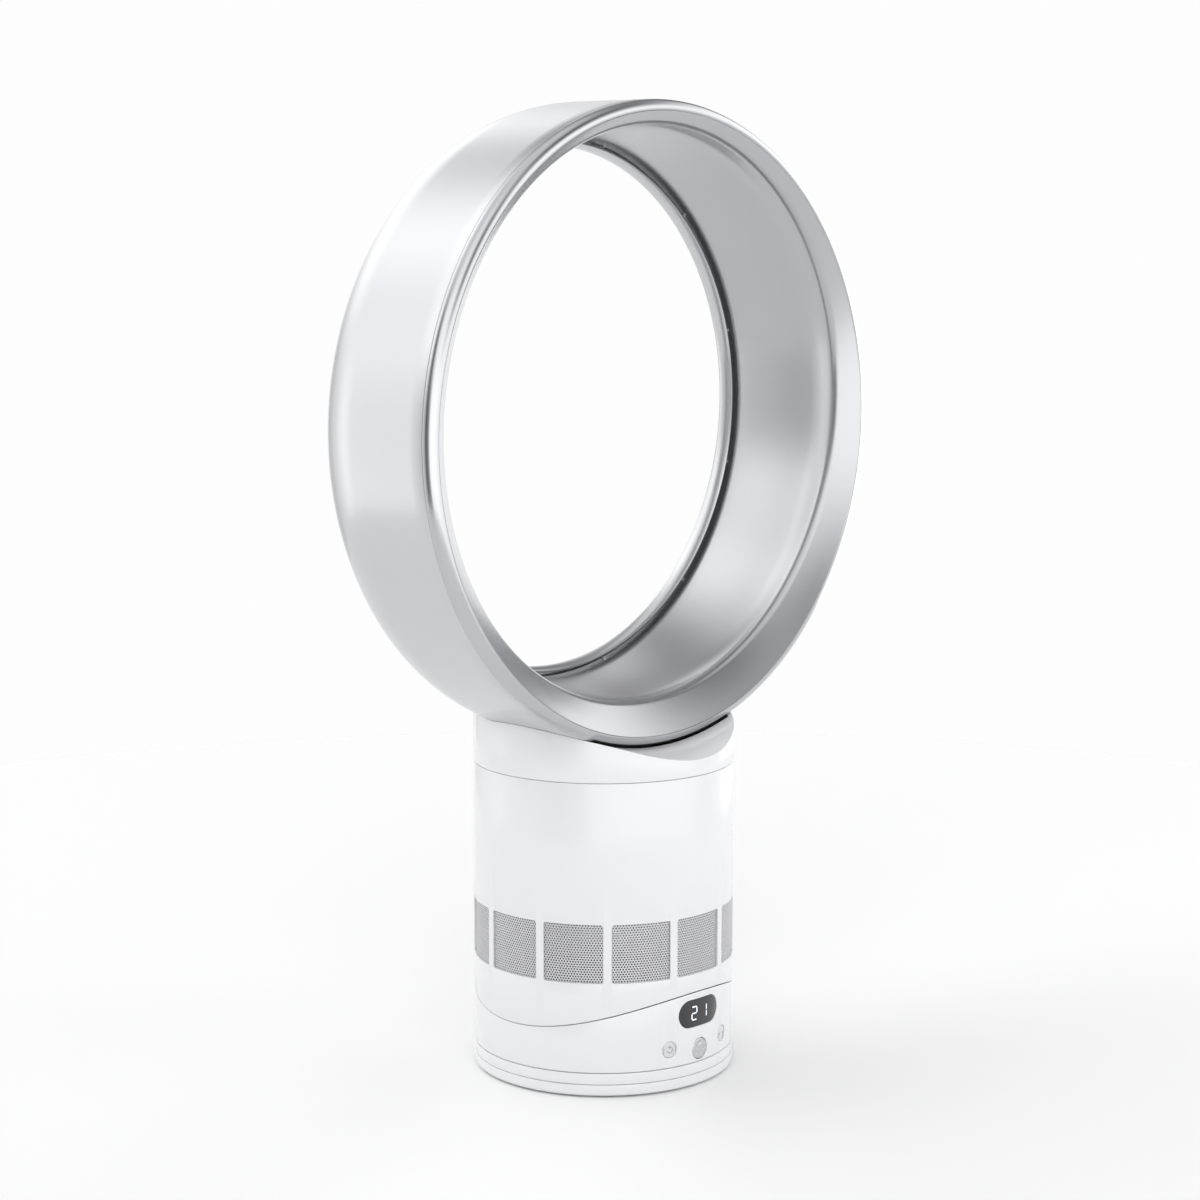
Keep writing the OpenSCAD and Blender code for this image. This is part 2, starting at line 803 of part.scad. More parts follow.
module oscillation_motor() {
    color(steel) difference() {
        union() {
            translate([0, motor_y, 0]) turned([
                [0, turntable_top_h], [motor_r, turntable_top_h],
                [motor_r, motor_top_h - motor_edge], [motor_r - motor_edge, motor_top_h],
                [0, motor_top_h]
            ]);
            translate([-motor_ear_x, motor_y - motor_ear_r, turntable_top_h])
                cube([2 * motor_ear_x, 2 * motor_ear_r, motor_ear_t]);
            for (sx = [-1, 1]) translate([sx * motor_ear_x, motor_y, turntable_top_h])
                cylinder(r = motor_ear_r, h = motor_ear_t, $fn = 48);
        }
        for (sx = [-1, 1]) translate([sx * motor_ear_x, motor_y, turntable_top_h - over])
            cylinder(r = screw_r + fit, h = motor_ear_t + 2 * over, $fn = 32);
        translate([0, drive_distance, turntable_top_h - over])
            cylinder(r = pinion_shaft_r + run_fit, h = pinion_shaft_h + over, $fn = 48);
    }
}

module motor_screws() {
    color(steel) for (sx = [-1, 1])
        translate([sx * motor_ear_x, motor_y, turntable_top_h + motor_ear_t + screw_head_h])
            mirror([0, 0, 1]) screw(screw_r, screw_head_r, screw_head_h, motor_ear_t + turntable_t);
}

module drive_pinion() {
    color(near_black) translate([0, drive_distance, 0]) {
        translate([0, 0, deck_top_h + thrust_gap])
            linear_extrude(turntable_low_h - gear_gap - deck_top_h - thrust_gap)
                rotate(180 / pinion_teeth - 90) polygon(gear_outline(pinion_teeth));
        translate([0, 0, turntable_low_h - gear_gap - over])
            cylinder(r = pinion_shaft_r, $fn = 48,
                h = turntable_t + gear_gap + over + pinion_shaft_h - thrust_gap);
    }
}

module control_board() {
    color(board_green) translate([-board_w / 2, board_front_y, turntable_top_h + board_lift])
        cube([board_w, board_t, board_top_h - turntable_top_h - board_lift]);
}

module display_module() {
    color(plain_plastic)
        translate([-display_w / 2, lens_back_y + display_gap, lens_z - display_drop - display_h / 2])
        cube([display_w, board_front_y - lens_back_y - display_gap, display_h]);
}

module display_lens() {
    color(near_black) {
        intersection() {
            tube(column_r - lens_sink, inner_r, lens_z - lens_h, lens_z + lens_h);
            along_y(-column_r - over, -inner_r / 2) translate([0, lens_z])
                round_rect(lens_w - 2 * lens_gap, lens_h - 2 * lens_gap, lens_h / 2 - fit - lens_gap);
        }
        translate([-lens_block_w / 2, -inner_r - over, lens_z - lens_block_h / 2 - lens_block_drop])
            cube([lens_block_w, lens_back_y + inner_r + over, lens_block_h]);
    }
}

module tact_switches() {
    color(near_black) for (sx = [-1, 1])
        translate([sx * button_x - switch_w / 2, switch_face_y, button_z - switch_w / 2])
            cube([switch_w, switch_h, switch_w]);
}

module dial_encoder() {
    color(steel) difference() {
        translate([-encoder_w / 2, board_front_y - encoder_t, dial_z - encoder_w / 2])
            cube([encoder_w, encoder_t, encoder_w]);
        rod_y(0, dial_z, dial_stem_r + run_fit, board_front_y - encoder_t - over,
            board_front_y - encoder_bore_end);
    }
}

// A push button at a sideways place, with its face on the column's curve
module push_button(x) {
    difference() {
        union() {
            intersection() {
                rod_y(x, button_z, button_r, -column_r, button_flange_y);
                cylinder(r = column_r - button_sink, h = tilt_axis_z);
            }
            rod_y(x, button_z, button_flange_r, button_flange_y, button_flange_y + button_flange_t);
            rod_y(x, button_z, button_stem_r, button_flange_y, stem_end_y);
        }
    }
}

module power_button() {
    color(plain_plastic) push_button(-button_x);
}

module oscillation_button() {
    color(plain_plastic) push_button(button_x);
}

module speed_dial() {
    face_y = -column_r + dial_sink;
    color(silver) difference() {
        union() {
            translate([0, 0, dial_z]) rotate([-90, 0, 0]) rotate_extrude($fn = 64) polygon([
                [0, face_y], [dial_r - control_edge, face_y], [dial_r, face_y + control_edge],
                [dial_r, face_y + dial_t], [0, face_y + dial_t]
            ]);
            rod_y(0, dial_z, dial_stem_r, face_y + dial_t - over,
                board_front_y - encoder_bore_end - run_fit - fit);
        }
        rod_y(0, dial_z + dial_r * dial_dimple_place_share, dial_dimple_r, face_y - over,
            face_y + dial_dimple_depth);
    }
}

// HEAD: tilts on the base

module tilt_carriage() {
    color(plain_plastic) difference() {
        union() {
            intersection() {
                cylinder(r = seat_r, h = tilt_axis_z);
                difference() {
                    tilt_disc(head_low_r);
                    tilt_disc(head_low_r - plate_t);
                }
            }
            for (sx = [-1, 1])
                tilt_sector(sx * rail_x - rail_w / 2, sx * rail_x + rail_w / 2, head_low_r - plate_t / 2,
                    keeper_top_r, rail_angle);
            intersection() {
                tilt_disc(head_low_r - plate_t / 2);
                for (sx = [-1, 1], sy = [-1, 1])
                    translate([sx * carriage_post_x, sy * carriage_post_x, 0])
                        cylinder(r = carriage_post_r, h = silencer_low_h, $fn = 48);
            }
        }
        translate([0, 0, 0]) cylinder(r = wire_w / 2, h = tilt_axis_z, $fn = 64);
        keeper_screw_places() cylinder(r = keeper_screw_r, h = keeper_screw_length + keeper_t, $fn = 32);
    }
}

// Places of the keeper screws, each pointing up along a radius of the tilt joint
module keeper_screw_places() {
    for (sx = [-1, 1], sy = [-1, 1])
        translate([sx * rail_x, 0, tilt_axis_z]) rotate([sy * keeper_screw_angle, 0, 0])
            translate([0, 0, -keeper_low_r]) children();
}

module rail_keepers() {
    color(plain_plastic) difference() {
        for (sx = [-1, 1])
            tilt_sector(sx * rail_x - keeper_w / 2, sx * rail_x + keeper_w / 2, keeper_top_r,
                keeper_low_r, rail_angle);
        keeper_screw_places() {
            cylinder(r = keeper_screw_r, h = keeper_t + over, $fn = 32);
            translate([0, 0, -over]) cylinder(r = keeper_head_r, h = keeper_head_h + over, $fn = 32);
        }
    }
}

module keeper_screws() {
    color(steel) keeper_screw_places()
        translate([0, 0, fit])
            screw(keeper_screw_r, keeper_head_r, keeper_head_h - fit, keeper_screw_length);
}

module window_places() {
    for (k = [0 : window_count - 1])
        rotate(k * 360 / window_count) children();
}

module body_shell() {
    color(white) difference() {
        union() {
            difference() {
                translate([0, 0, base_low_h]) intersection() {
                    cylinder(r = column_r, h = body_top_h - base_low_h);
                    union() {
                        translate([0, 0, -base_low_h]) tilt_disc(head_low_r);
                        translate([0, 0, tilt_axis_z - base_low_h - over])
                            cylinder(r = column_d, h = neck_low_h);
                    }
                }
                translate([0, 0, base_low_h]) cylinder(r = inner_r, h = neck_low_h);
                turned([[column_r - seam_chamfer, body_top_h], [column_r + over, body_top_h + over],
                    [column_r + over, body_top_h - seam_chamfer - over]]);
            }
            for (ledge_h = [mount_low_h, collar_ledge_h])
                tube(inner_r + over / 2, inner_r - ledge_w, ledge_h - ledge_t, ledge_h);
        }
        tube(grille_r + fit, inner_r - over / 2, grille_low_h - fit, grille_high_h + fit);
        window_places() along_y(-column_r - over, -inner_r / 2)
            translate([0, window_low_h + window_h / 2]) round_rect(window_w, window_h, window_r);
    }
}

module intake_grille() {
    color(grille_grey) difference() {
        tube(grille_r, grille_r - grille_t, grille_low_h, grille_high_h);
        window_places() for (row = [0 : slot_rows - 1])
            translate([slot_margin - window_w / 2, -column_r,
                window_low_h + slot_margin + row * slot_pitch])
                cube([window_w - 2 * slot_margin, inner_r / 2, slot_h]);
    }
}

module lower_silencer() {
    color(rubber_black)
        tube(seat_r - silencer_gap, silencer_hole_r, silencer_low_h, silencer_low_h + silencer_t);
}

module inlet_bell() {
    bell_drop = bell_r - throat_r;
    color(plain_plastic) turned(concat(
        [for (step = [0 : bell_steps]) let (a = step * 90 / bell_steps)
            [bell_r - bell_drop * sin(a), throat_h - bell_h * cos(a)]],
        [for (step = [bell_steps : -1 : 0]) let (a = step * 90 / bell_steps)
            [bell_r + housing_wall - bell_drop * sin(a), throat_h - bell_h * cos(a)]]
    ));
}

module impeller_housing() {
    color(plain_plastic) {
        turned([
            [throat_r, throat_h], [throat_r + housing_wall, throat_h], [housing_out_r, shroud_top_h],
            [housing_out_r, housing_top_h], [housing_r, housing_top_h], [housing_r, shroud_top_h]
        ]);
        tube(housing_out_r + flange_w, housing_out_r - over, flange_low_h, flange_low_h + flange_t);
    }
}

module annular_seal() {
    color(rubber_black) tube(seat_r, housing_out_r + fit, seal_low_h, seal_low_h + seal_t);
}

module mount_ring() {
    color(plain_plastic) difference() {
        tube(seat_r, housing_out_r + mount_gap, mount_low_h, mount_low_h + mount_t);
        bush_places() cylinder(r = bush_hole_r, h = neck_low_h, $fn = 32);
    }
}

module bush_places() {
    for (k = [0 : bush_count - 1])
        rotate(k * 360 / bush_count) translate([bush_ring_r, 0, 0]) children();
}

module mount_bushes() {
    color(rubber_black) bush_places() translate([0, 0, mount_low_h]) {
        cylinder(r = bush_hole_r, h = mount_t, $fn = 32);
        translate([0, 0, mount_t]) cylinder(r = bush_out_r, h = bush_h, $fn = 32);
    }
}

// A ring of flat blades leaning about their own radius, kept inside a turned profile
module leaning_blades(count, thickness, angle, middle_h, points) {
    intersection() {
        turned(points);
        for (k = [0 : count - 1]) rotate(k * 360 / count) translate([0, 0, middle_h])
            rotate([angle, 0, 0])
                translate([0, -thickness / 2, -column_r]) cube([column_r, thickness, column_d]);
    }
}

module impeller() {
    slope = (housing_r - throat_r) / shroud_h;
    blade_low_h = hub_low_h + blade_margin;
    blade_high_h = shroud_top_h - blade_margin;
    color(near_black) difference() {
        union() {
            turned([
                [0, hub_low_h], [hub_nose_r, hub_low_h],
                [(hub_nose_r + hub_base_r) / 2 - blade_margin, (hub_low_h + shroud_top_h) / 2],
                [hub_base_r, shroud_top_h - blade_margin], [hub_base_r, shroud_top_h], [0, shroud_top_h]
            ]);
            leaning_blades(blade_count, blade_t, blade_angle, (blade_low_h + blade_high_h) / 2, [
                [shaft_r + over, blade_low_h],
                [throat_r - tip_gap + slope * (blade_low_h - throat_h), blade_low_h],
                [throat_r - tip_gap + slope * (blade_high_h - throat_h), blade_high_h],
                [shaft_r + over, blade_high_h]
            ]);
        }
        translate([0, 0, throat_h]) cylinder(r = shaft_r, h = shroud_h + over, $fn = 64);
    }
}

module impeller_nut() {
    color(steel) turned([
        [shaft_r, hub_low_h], [nut_r, hub_low_h], [nut_r, hub_low_h - nut_h / 2],
        [nut_r / 2 + shaft_r / 2, hub_low_h - nut_h], [shaft_r, hub_low_h - nut_h]
    ]);
}

module motor_shaft() {
    color(steel) translate([0, 0, shaft_low_h]) cylinder(r = shaft_r, h = shaft_top_h - shaft_low_h);
}

module rotor_magnet() {
    color(near_black) tube(rotor_r, shaft_r, stator_low_h, stator_low_h + stator_h);
}

module lower_bucket() {
    color(plain_plastic) {
        tube(bucket_r, bucket_r - bucket_wall, bucket_low_h, bucket_split_h);
        tube(bucket_r - over, shaft_r + over, bucket_low_h, bucket_low_h + bearing_shelf);
        tube(bearing_r + bearing_hub_t, bearing_r, bucket_low_h, bucket_low_h + bearing_shelf + bearing_h);
        tube(bucket_r - over, stator_r - over, stator_low_h - stator_seat_t, stator_low_h);
    }
}

module upper_bucket() {
    color(plain_plastic) {
        tube(bucket_r, bucket_r - bucket_wall, bucket_split_h, bucket_top_h);
        translate([0, 0, bucket_top_h - bucket_wall]) cylinder(r = bucket_r - over, h = bucket_wall);
        difference() {
            tube(bucket_r - over, bearing_r, spider_low_h, spider_low_h + spider_t);
            for (k = [0 : tooth_count - 1]) rotate((k + 0.5) * 360 / tooth_count)
                translate([spider_hole_ring_r, 0, spider_low_h - over])
                    cylinder(r = spider_hole_r, h = spider_t + 2 * over, $fn = 48);
        }
        tube(bearing_r + bearing_hub_t, bearing_r, spider_low_h, spider_low_h + bearing_h);
        for (k = [0 : board_post_count - 1]) rotate(k * 360 / board_post_count)
            translate([stator_r, 0, spider_low_h + spider_t - over])
                cylinder(r = board_post_r, h = board_post_h + over, $fn = 32);
    }
}

module bearing(low) {
    tube(bearing_r, shaft_r + run_fit, low, low + bearing_h);
}

module lower_bearing() {
    color(steel) bearing(bucket_low_h + bearing_shelf);
}

module upper_bearing() {
    color(steel) bearing(spider_low_h);
}

// Places of the stator's teeth, each along +X
module tooth_places() {
    for (k = [0 : tooth_count - 1]) rotate(k * 360 / tooth_count) children();
}

module motor_stator() {
    color(steel) difference() {
        union() {
            tube(stator_r, stator_r - stator_yoke_t, stator_low_h, stator_low_h + stator_h);
            tooth_places() translate([0, -tooth_w / 2, stator_low_h])
                cube([stator_r - over, tooth_w, stator_h]);
        }
        translate([0, 0, stator_low_h - over]) cylinder(r = stator_bore_r, h = stator_h + 2 * over);
    }
}

module motor_windings() {
    coil_low_x = stator_bore_r + coil_t;
    coil_length = stator_r - stator_yoke_t - coil_low_x - coil_t;
    hole_w = tooth_w + 2 * coil_gap;
    hole_h = stator_h + 2 * coil_gap;
    color(copper) tooth_places() translate([coil_low_x, 0, stator_low_h + stator_h / 2]) difference() {
        translate([0, -hole_w / 2 - coil_t, -hole_h / 2 - coil_t])
            cube([coil_length, hole_w + 2 * coil_t, hole_h + 2 * coil_t]);
        translate([-over, -hole_w / 2, -hole_h / 2]) cube([coil_length + 2 * over, hole_w, hole_h]);
    }
}

module motor_board() {
    color(board_green) tube(bucket_r - bucket_wall - fit, motor_board_bore_r, motor_board_low_h,
        motor_board_low_h + motor_board_t);
}

module diffuser_vanes() {
    high = vane_low_h + vane_h;
    color(plain_plastic) {
        tube(bucket_r + fit + sleeve_t, bucket_r + fit, vane_low_h, high);
        tube(housing_r - fit, housing_r - fit - sleeve_t, vane_low_h, high);
        leaning_blades(vane_count, vane_t, -vane_angle, vane_low_h + vane_h / 2, [
            [bucket_r + fit + sleeve_t / 2, vane_low_h], [housing_r - fit - sleeve_t / 2, vane_low_h],
            [housing_r - fit - sleeve_t / 2, high], [bucket_r + fit + sleeve_t / 2, high]
        ]);
    }
}

module lip_seal() {
    seat_h = housing_top_h + lip_seal_t;
    color(rubber_black) turned([
        [housing_r, housing_top_h], [housing_out_r, housing_top_h],
        [spigot_r, spigot_low_h - fit - over], [spigot_r, spigot_low_h - fit],
        [spigot_r - over, spigot_low_h - fit], [housing_r + over, seat_h], [housing_r, seat_h]
    ]);
}

// A ring of twist-lock lugs
module lugs(inner, outer, low, turn) {
    for (k = [0 : lug_count - 1]) rotate(k * 360 / lug_count + turn) intersection() {
        tube(outer, inner, low, low + lug_t);
        translate([0, 0, low]) linear_extrude(lug_t) polygon([
            [0, 0], [column_d, -column_d * tan(lug_angle / 2)], [column_d, column_d * tan(lug_angle / 2)]
        ]);
    }
}

module bayonet_collar() {
    lug_h = spigot_low_h + lug_lift + lug_t + lug_gap;
    color(plain_plastic) {
        tube(seat_r, collar_r, collar_ledge_h, body_top_h - collar_drop);
        lugs(spigot_r + lug_gap, collar_r + over / 2, lug_h, 0);
    }
}

// The profile under the loop that the neck's top follows, as [radius, y], moved out by a wall
function shoulder_share(y, start) = max(0, (abs(y) - start) / (column_r - start));
function front_shoulder(y) =
    loop_r + fit + shoulder_rise * pow(shoulder_share(y, loop_front), shoulder_power);
rear_start_r = nose_r + nose_drop * sqrt(1 - pow((rear_shoulder_y - nose_y) / nose_length, 2)) + fit;
rear_rise = loop_r + shoulder_rise - rear_start_r;
function rear_shoulder(y) =
    rear_start_r + rear_rise * pow(shoulder_share(y, rear_shoulder_y), rear_shoulder_power);
rear_start_angle = asin((rear_shoulder_y - nose_y) / nose_length);
function saddle(wall) = [
    [0, -column_r - over],
    for (step = [shoulder_steps : -1 : 0])
        let (y = -loop_front - (column_r + over - loop_front) * step / shoulder_steps)
        [front_shoulder(y) + wall, y],
    [loop_r + fit, -loop_front + wall], [loop_r + fit, nose_y],
    for (step = [1 : nose_steps]) let (a = rear_start_angle * step / nose_steps)
        [nose_r + nose_drop * cos(a) + fit, nose_y + nose_length * sin(a) - wall],
    for (step = [wall > 0 ? 0 : 1 : shoulder_steps])
        let (y = rear_shoulder_y + (column_r + over - rear_shoulder_y) * step / shoulder_steps)
        [rear_shoulder(y) + wall, y],
    [0, column_r + over]
];

// The opening in the casing's underside that lets the air up from the neck into the loop
module duct_opening() {
    intersection() {
        translate([0, 0, neck_low_h + neck_floor_t])
            cylinder(r = duct_r, h = loop_z - neck_low_h - neck_floor_t - core_r);
        translate([-duct_r, -duct_half, 0]) cube([2 * duct_r, 2 * duct_half, loop_z]);
    }
}

module nozzle_neck() {
    neck_top_h = loop_z - sqrt(pow(nose_r, 2) - pow(column_r, 2)) + over;
    color(white) {
        difference() {
            translate([0, 0, neck_low_h]) cylinder(r = column_r, h = neck_top_h - neck_low_h);
            turned_along_y(loop_z, saddle(0));
            difference() {
                translate([0, 0, neck_low_h + neck_floor_t])
                    cylinder(r = inner_r, h = neck_top_h - neck_low_h);
                turned_along_y(loop_z, saddle(column_wall));
            }
            translate([0, 0, neck_low_h - over])
                cylinder(r = spigot_r - spigot_wall, h = neck_floor_t + 2 * over);
            turned([[column_r - seam_chamfer, neck_low_h], [column_r + over, neck_low_h - over],
                [column_r + over, neck_low_h + seam_chamfer + over]]);
        }
        tube(spigot_r, spigot_r - spigot_wall, spigot_low_h, neck_low_h + over);
        lugs(spigot_r - over, spigot_r + lug_w, spigot_low_h + lug_lift, 0);
    }
}

// The loop's outer form, as [radius, y], moved in by a wall
function casing_profile(wall, low_r) = [
    [low_r, rim_y - (wall > 0 ? over : 0)], [loop_r - wall, rim_y - (wall > 0 ? over : 0)],
    [loop_r - wall, nose_y],
    for (step = [1 : nose_steps]) let (a = 90 * step / nose_steps)
        [nose_r + (nose_drop - wall) * cos(a), nose_y + (nose_length - wall) * sin(a)],
    [low_r, loop_rear - wall]
];

module outer_casing() {
    color(silver) difference() {
        turned_along_y(loop_z, casing_profile(0, core_r));
        difference() {
            turned_along_y(loop_z, casing_profile(loop_wall, 0));
            turned_along_y(aperture_z, [
                [0, lip_tip_y], [lip_r + lip_tip_t, lip_tip_y], [lip_r + lip_t, lip_tip_y + lip_taper],
                [lip_r + lip_t, loop_rear + over], [0, loop_rear + over]
            ]);
        }
        turned_along_y(aperture_z, [
            [0, -loop_front - over], [lip_r, -loop_front - over], [lip_r, loop_rear - lip_round],
            for (step = [1 : 4]) [lip_r + lip_round - lip_round * cos(step * 22.5),
                loop_rear - lip_round + lip_round * sin(step * 22.5)],
            [lip_r + lip_round, loop_rear + over], [0, loop_rear + over]
        ]);
        duct_opening();
    }
}

// The air-guiding surface of the inner casing, as [radius, y], moved out by a wall
function guide_profile(wall) = [
    [guide_r - guide_fall + wall, guide_y - guide_length],
    [diffuser_r + wall, diffuser_y],
    [swell_r + wall + (diffuser_r - swell_r) * bend_rise_share,
        swell_y - (swell_y - diffuser_y) * bend_place_share],
    [swell_r + wall, swell_y],
    [mouth_r + wall, mouth_y]
];

module inner_casing() {
    face_end_y = rim_inner_r / face_slope - loop_front;
    beyond_r = loop_r + over;
    color(silver) difference() {
        turned_along_y(loop_z, [
            [core_r, -loop_front], [rim_inner_r - fit, -loop_front], [rim_inner_r - fit, rim_y],
            [rim_inner_r - fit, mouth_y], [core_r, mouth_y]
        ]);
        turned_along_y(aperture_z, concat(
            [[0, guide_y - guide_length]], guide_profile(0),
            [[mouth_r, mouth_y + over], [0, mouth_y + over]]
        ));
        turned_along_y(loop_z, [
            [0, -loop_front - over], [rim_inner_r + over * face_slope, -loop_front - over],
            [0, face_end_y]
        ]);
        intersection() {
            turned_along_y(aperture_z, concat(
                guide_profile(loop_wall),
                [[mouth_r + loop_wall, mouth_y + over], [beyond_r + section_t, mouth_y + over],
                    [beyond_r + section_t, guide_y - guide_length]]
            ));
            turned_along_y(loop_z, [
                [rim_inner_r + face_wall, -loop_front], [beyond_r + section_t, -loop_front],
                [beyond_r + section_t, face_end_y], [face_wall, face_end_y]
            ]);
        }
    }
}

module front_trim_ring() {
    inner_round = rim_r - loop_wall;
    color(bright_silver) turned_along_y(loop_z, concat(
        [for (step = [0 : rim_steps]) let (a = 90 * step / rim_steps)
            [rim_inner_r + rim_r * cos(a), rim_y - rim_r * sin(a)]],
        [for (step = [rim_steps : -1 : 2]) let (a = 90 * step / rim_steps)
            [rim_inner_r + inner_round * cos(a), rim_y - inner_round * sin(a)]],
        [[loop_r - loop_wall - skirt_t, rim_y - over], [loop_r - loop_wall - skirt_t, rim_y + skirt_length],
            [loop_r - loop_wall - fit, rim_y + skirt_length], [loop_r - loop_wall - fit, rim_y]]
    ));
}

module slot_spacers() {
    color(silver) for (k = [0 : spacer_count - 1])
        translate([0, 0, aperture_z]) rotate([0, (k + 0.5) * 360 / spacer_count, 0])
            intersection() {
                translate([-spacer_w / 2, mouth_y - spacer_length, 0])
                    cube([spacer_w, spacer_length, loop_r]);
                rotate([-90, 0, 0]) difference() {
                    cylinder(r = spacer_r, h = loop_rear);
                    translate([0, 0, -over]) cylinder(r = lip_r + lip_t, h = loop_rear + 2 * over);
                }
            }
}

bottom_cover();
rubber_feet();
ballast_plate();
foot_shell();
cover_screws();
oscillation_gear();
thrust_ring();
pivot_post();
retaining_clip();
cord_gland();
base_shell();
turntable();
turntable_screws();
pivot_bush();
oscillation_motor();
motor_screws();
control_board();
display_module();
display_lens();
tact_switches();
dial_encoder();
slide_pads();
drive_pinion();
power_button();
oscillation_button();
speed_dial();
tilt_carriage();
rail_keepers();
keeper_screws();
body_shell();
intake_grille();
lower_silencer();
inlet_bell();
impeller_housing();
annular_seal();
diffuser_vanes();
lower_bucket();
upper_bucket();
motor_stator();
motor_windings();
lower_bearing();
upper_bearing();
motor_board();
mount_ring();
mount_bushes();
lip_seal();
bayonet_collar();
nozzle_neck();
outer_casing();
inner_casing();
front_trim_ring();
slot_spacers();
impeller();
impeller_nut();
motor_shaft();
rotor_magnet();
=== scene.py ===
"""Dresses the packed frame of a bladeless loop fan: finished shells, a perforated intake,
painted casings, controls, and a plain studio."""

import json
import math

import bmesh
import bpy
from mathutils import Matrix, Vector


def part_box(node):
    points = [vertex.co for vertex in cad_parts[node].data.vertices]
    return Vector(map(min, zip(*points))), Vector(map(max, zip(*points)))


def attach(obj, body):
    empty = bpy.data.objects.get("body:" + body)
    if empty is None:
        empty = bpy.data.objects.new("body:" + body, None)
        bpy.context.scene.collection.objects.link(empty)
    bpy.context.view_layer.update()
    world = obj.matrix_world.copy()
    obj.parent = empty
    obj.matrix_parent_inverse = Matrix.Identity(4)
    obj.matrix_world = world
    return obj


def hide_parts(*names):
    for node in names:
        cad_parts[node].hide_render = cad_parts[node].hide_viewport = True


bl_info = {
    "name": "Bladeless Loop Fan",
    "version": (1, 0, 0),
    "blender": (4, 5, 0),
    "location": "View3D > Sidebar > Loop Fan",
    "description": "Finished shells, intake, casings and controls of a bladeless loop fan",
    "category": "Object",
}

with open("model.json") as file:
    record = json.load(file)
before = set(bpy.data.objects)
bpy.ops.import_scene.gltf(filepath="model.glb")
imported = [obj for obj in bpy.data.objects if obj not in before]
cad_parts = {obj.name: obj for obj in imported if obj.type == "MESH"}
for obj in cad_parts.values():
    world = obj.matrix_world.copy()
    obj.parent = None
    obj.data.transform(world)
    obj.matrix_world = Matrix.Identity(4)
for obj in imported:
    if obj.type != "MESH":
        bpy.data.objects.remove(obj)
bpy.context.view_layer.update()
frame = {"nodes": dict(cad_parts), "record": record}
MM = 0.001


# ---------------------------------------------------------------- sizes and colours

def length(name, description, default):
    """A length in metres that a user may change."""
    return bpy.props.FloatProperty(
        name=name, description=description, default=default, min=0.0, precision=5,
        subtype="DISTANCE", unit="LENGTH")


def place(name, description, default):
    """A coordinate in metres, which may be negative."""
    return bpy.props.FloatProperty(
        name=name, description=description, default=default, precision=5,
        subtype="DISTANCE", unit="LENGTH")


def colour(name, description, default):
    """A linear colour."""
    return bpy.props.FloatVectorProperty(
        name=name, description=description, default=default, size=3, min=0.0, max=1.0,
        subtype="COLOR")


def low(node):
    """The lowest corner of a CAD piece's box."""
    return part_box(node)[0]


def high(node):
    """The highest corner of a CAD piece's box."""
    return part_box(node)[1]


class FAN_PG_column(bpy.types.PropertyGroup):
    """Sizes of the round column, from its foot to its neck"""

    radius: length("Radius", "Outer radius of the column", high("body_shell").x)
    wall: length("Wall", "Wall of the outer shells", 2.5 * MM)
    cover_bottom: length("Cover bottom", "Height of the cover's underside", low("bottom_cover").z)
    cover_top: length("Cover top", "Height of the cover's visible top edge", 7.45 * MM)
    foot_bottom: length("Foot bottom", "Height of the split line in the foot", 7.8 * MM)
    foot_top: length("Foot top", "Height of the foot's top edge", high("foot_shell").z)
    base_bottom: length("Base bottom", "Height of the base's lower edge", low("base_shell").z)
    body_top: length("Body top", "Height of the body's top edge", high("body_shell").z)
    neck_bottom: length("Neck bottom", "Height of the neck's lower edge", 177.95 * MM)
    tilt_centre: length("Tilt centre", "Height of the tilt axis", 204.8 * MM)
    tilt_radius: length("Tilt radius", "Radius of the curved tilt seam", 167.3 * MM)
    tilt_gap: length("Tilt gap", "Gap along the tilt seam", 0.5 * MM)
    edge: length("Edge", "Rounding of the shells' visible edges", 0.3 * MM)
    steps: bpy.props.IntProperty(
        name="Steps", description="Facets round the column", default=240, min=48, max=360)


class FAN_PG_intake(bpy.types.PropertyGroup):
    """Sizes of the intake's windows and its perforated sheet"""

    window_bottom: length("Window bottom", "Height of the windows' lower edge", 65.3 * MM)
    window_height: length("Window height", "Height of a window", 33.3 * MM)
    window_width: length("Window width", "Width of a window", 33.9 * MM)
    window_round: length("Window rounding", "Corner radius of a window", 1.5 * MM)
    window_count: bpy.props.IntProperty(
        name="Windows", description="Windows round the column", default=12, min=1, max=24)
    sheet_radius: length("Sheet radius", "Outer radius of the sheet", high("intake_grille").x)
    sheet_wall: length("Sheet wall", "Thickness of the sheet", 0.8 * MM)
    hole: length("Hole", "Diameter of a hole", 1.0 * MM)
    columns: bpy.props.IntProperty(
        name="Columns", description="Holes round half of the sheet", default=144, min=24, max=160)
    rows: bpy.props.IntProperty(
        name="Row pairs", description="Pairs of staggered rows", default=13, min=2, max=14)


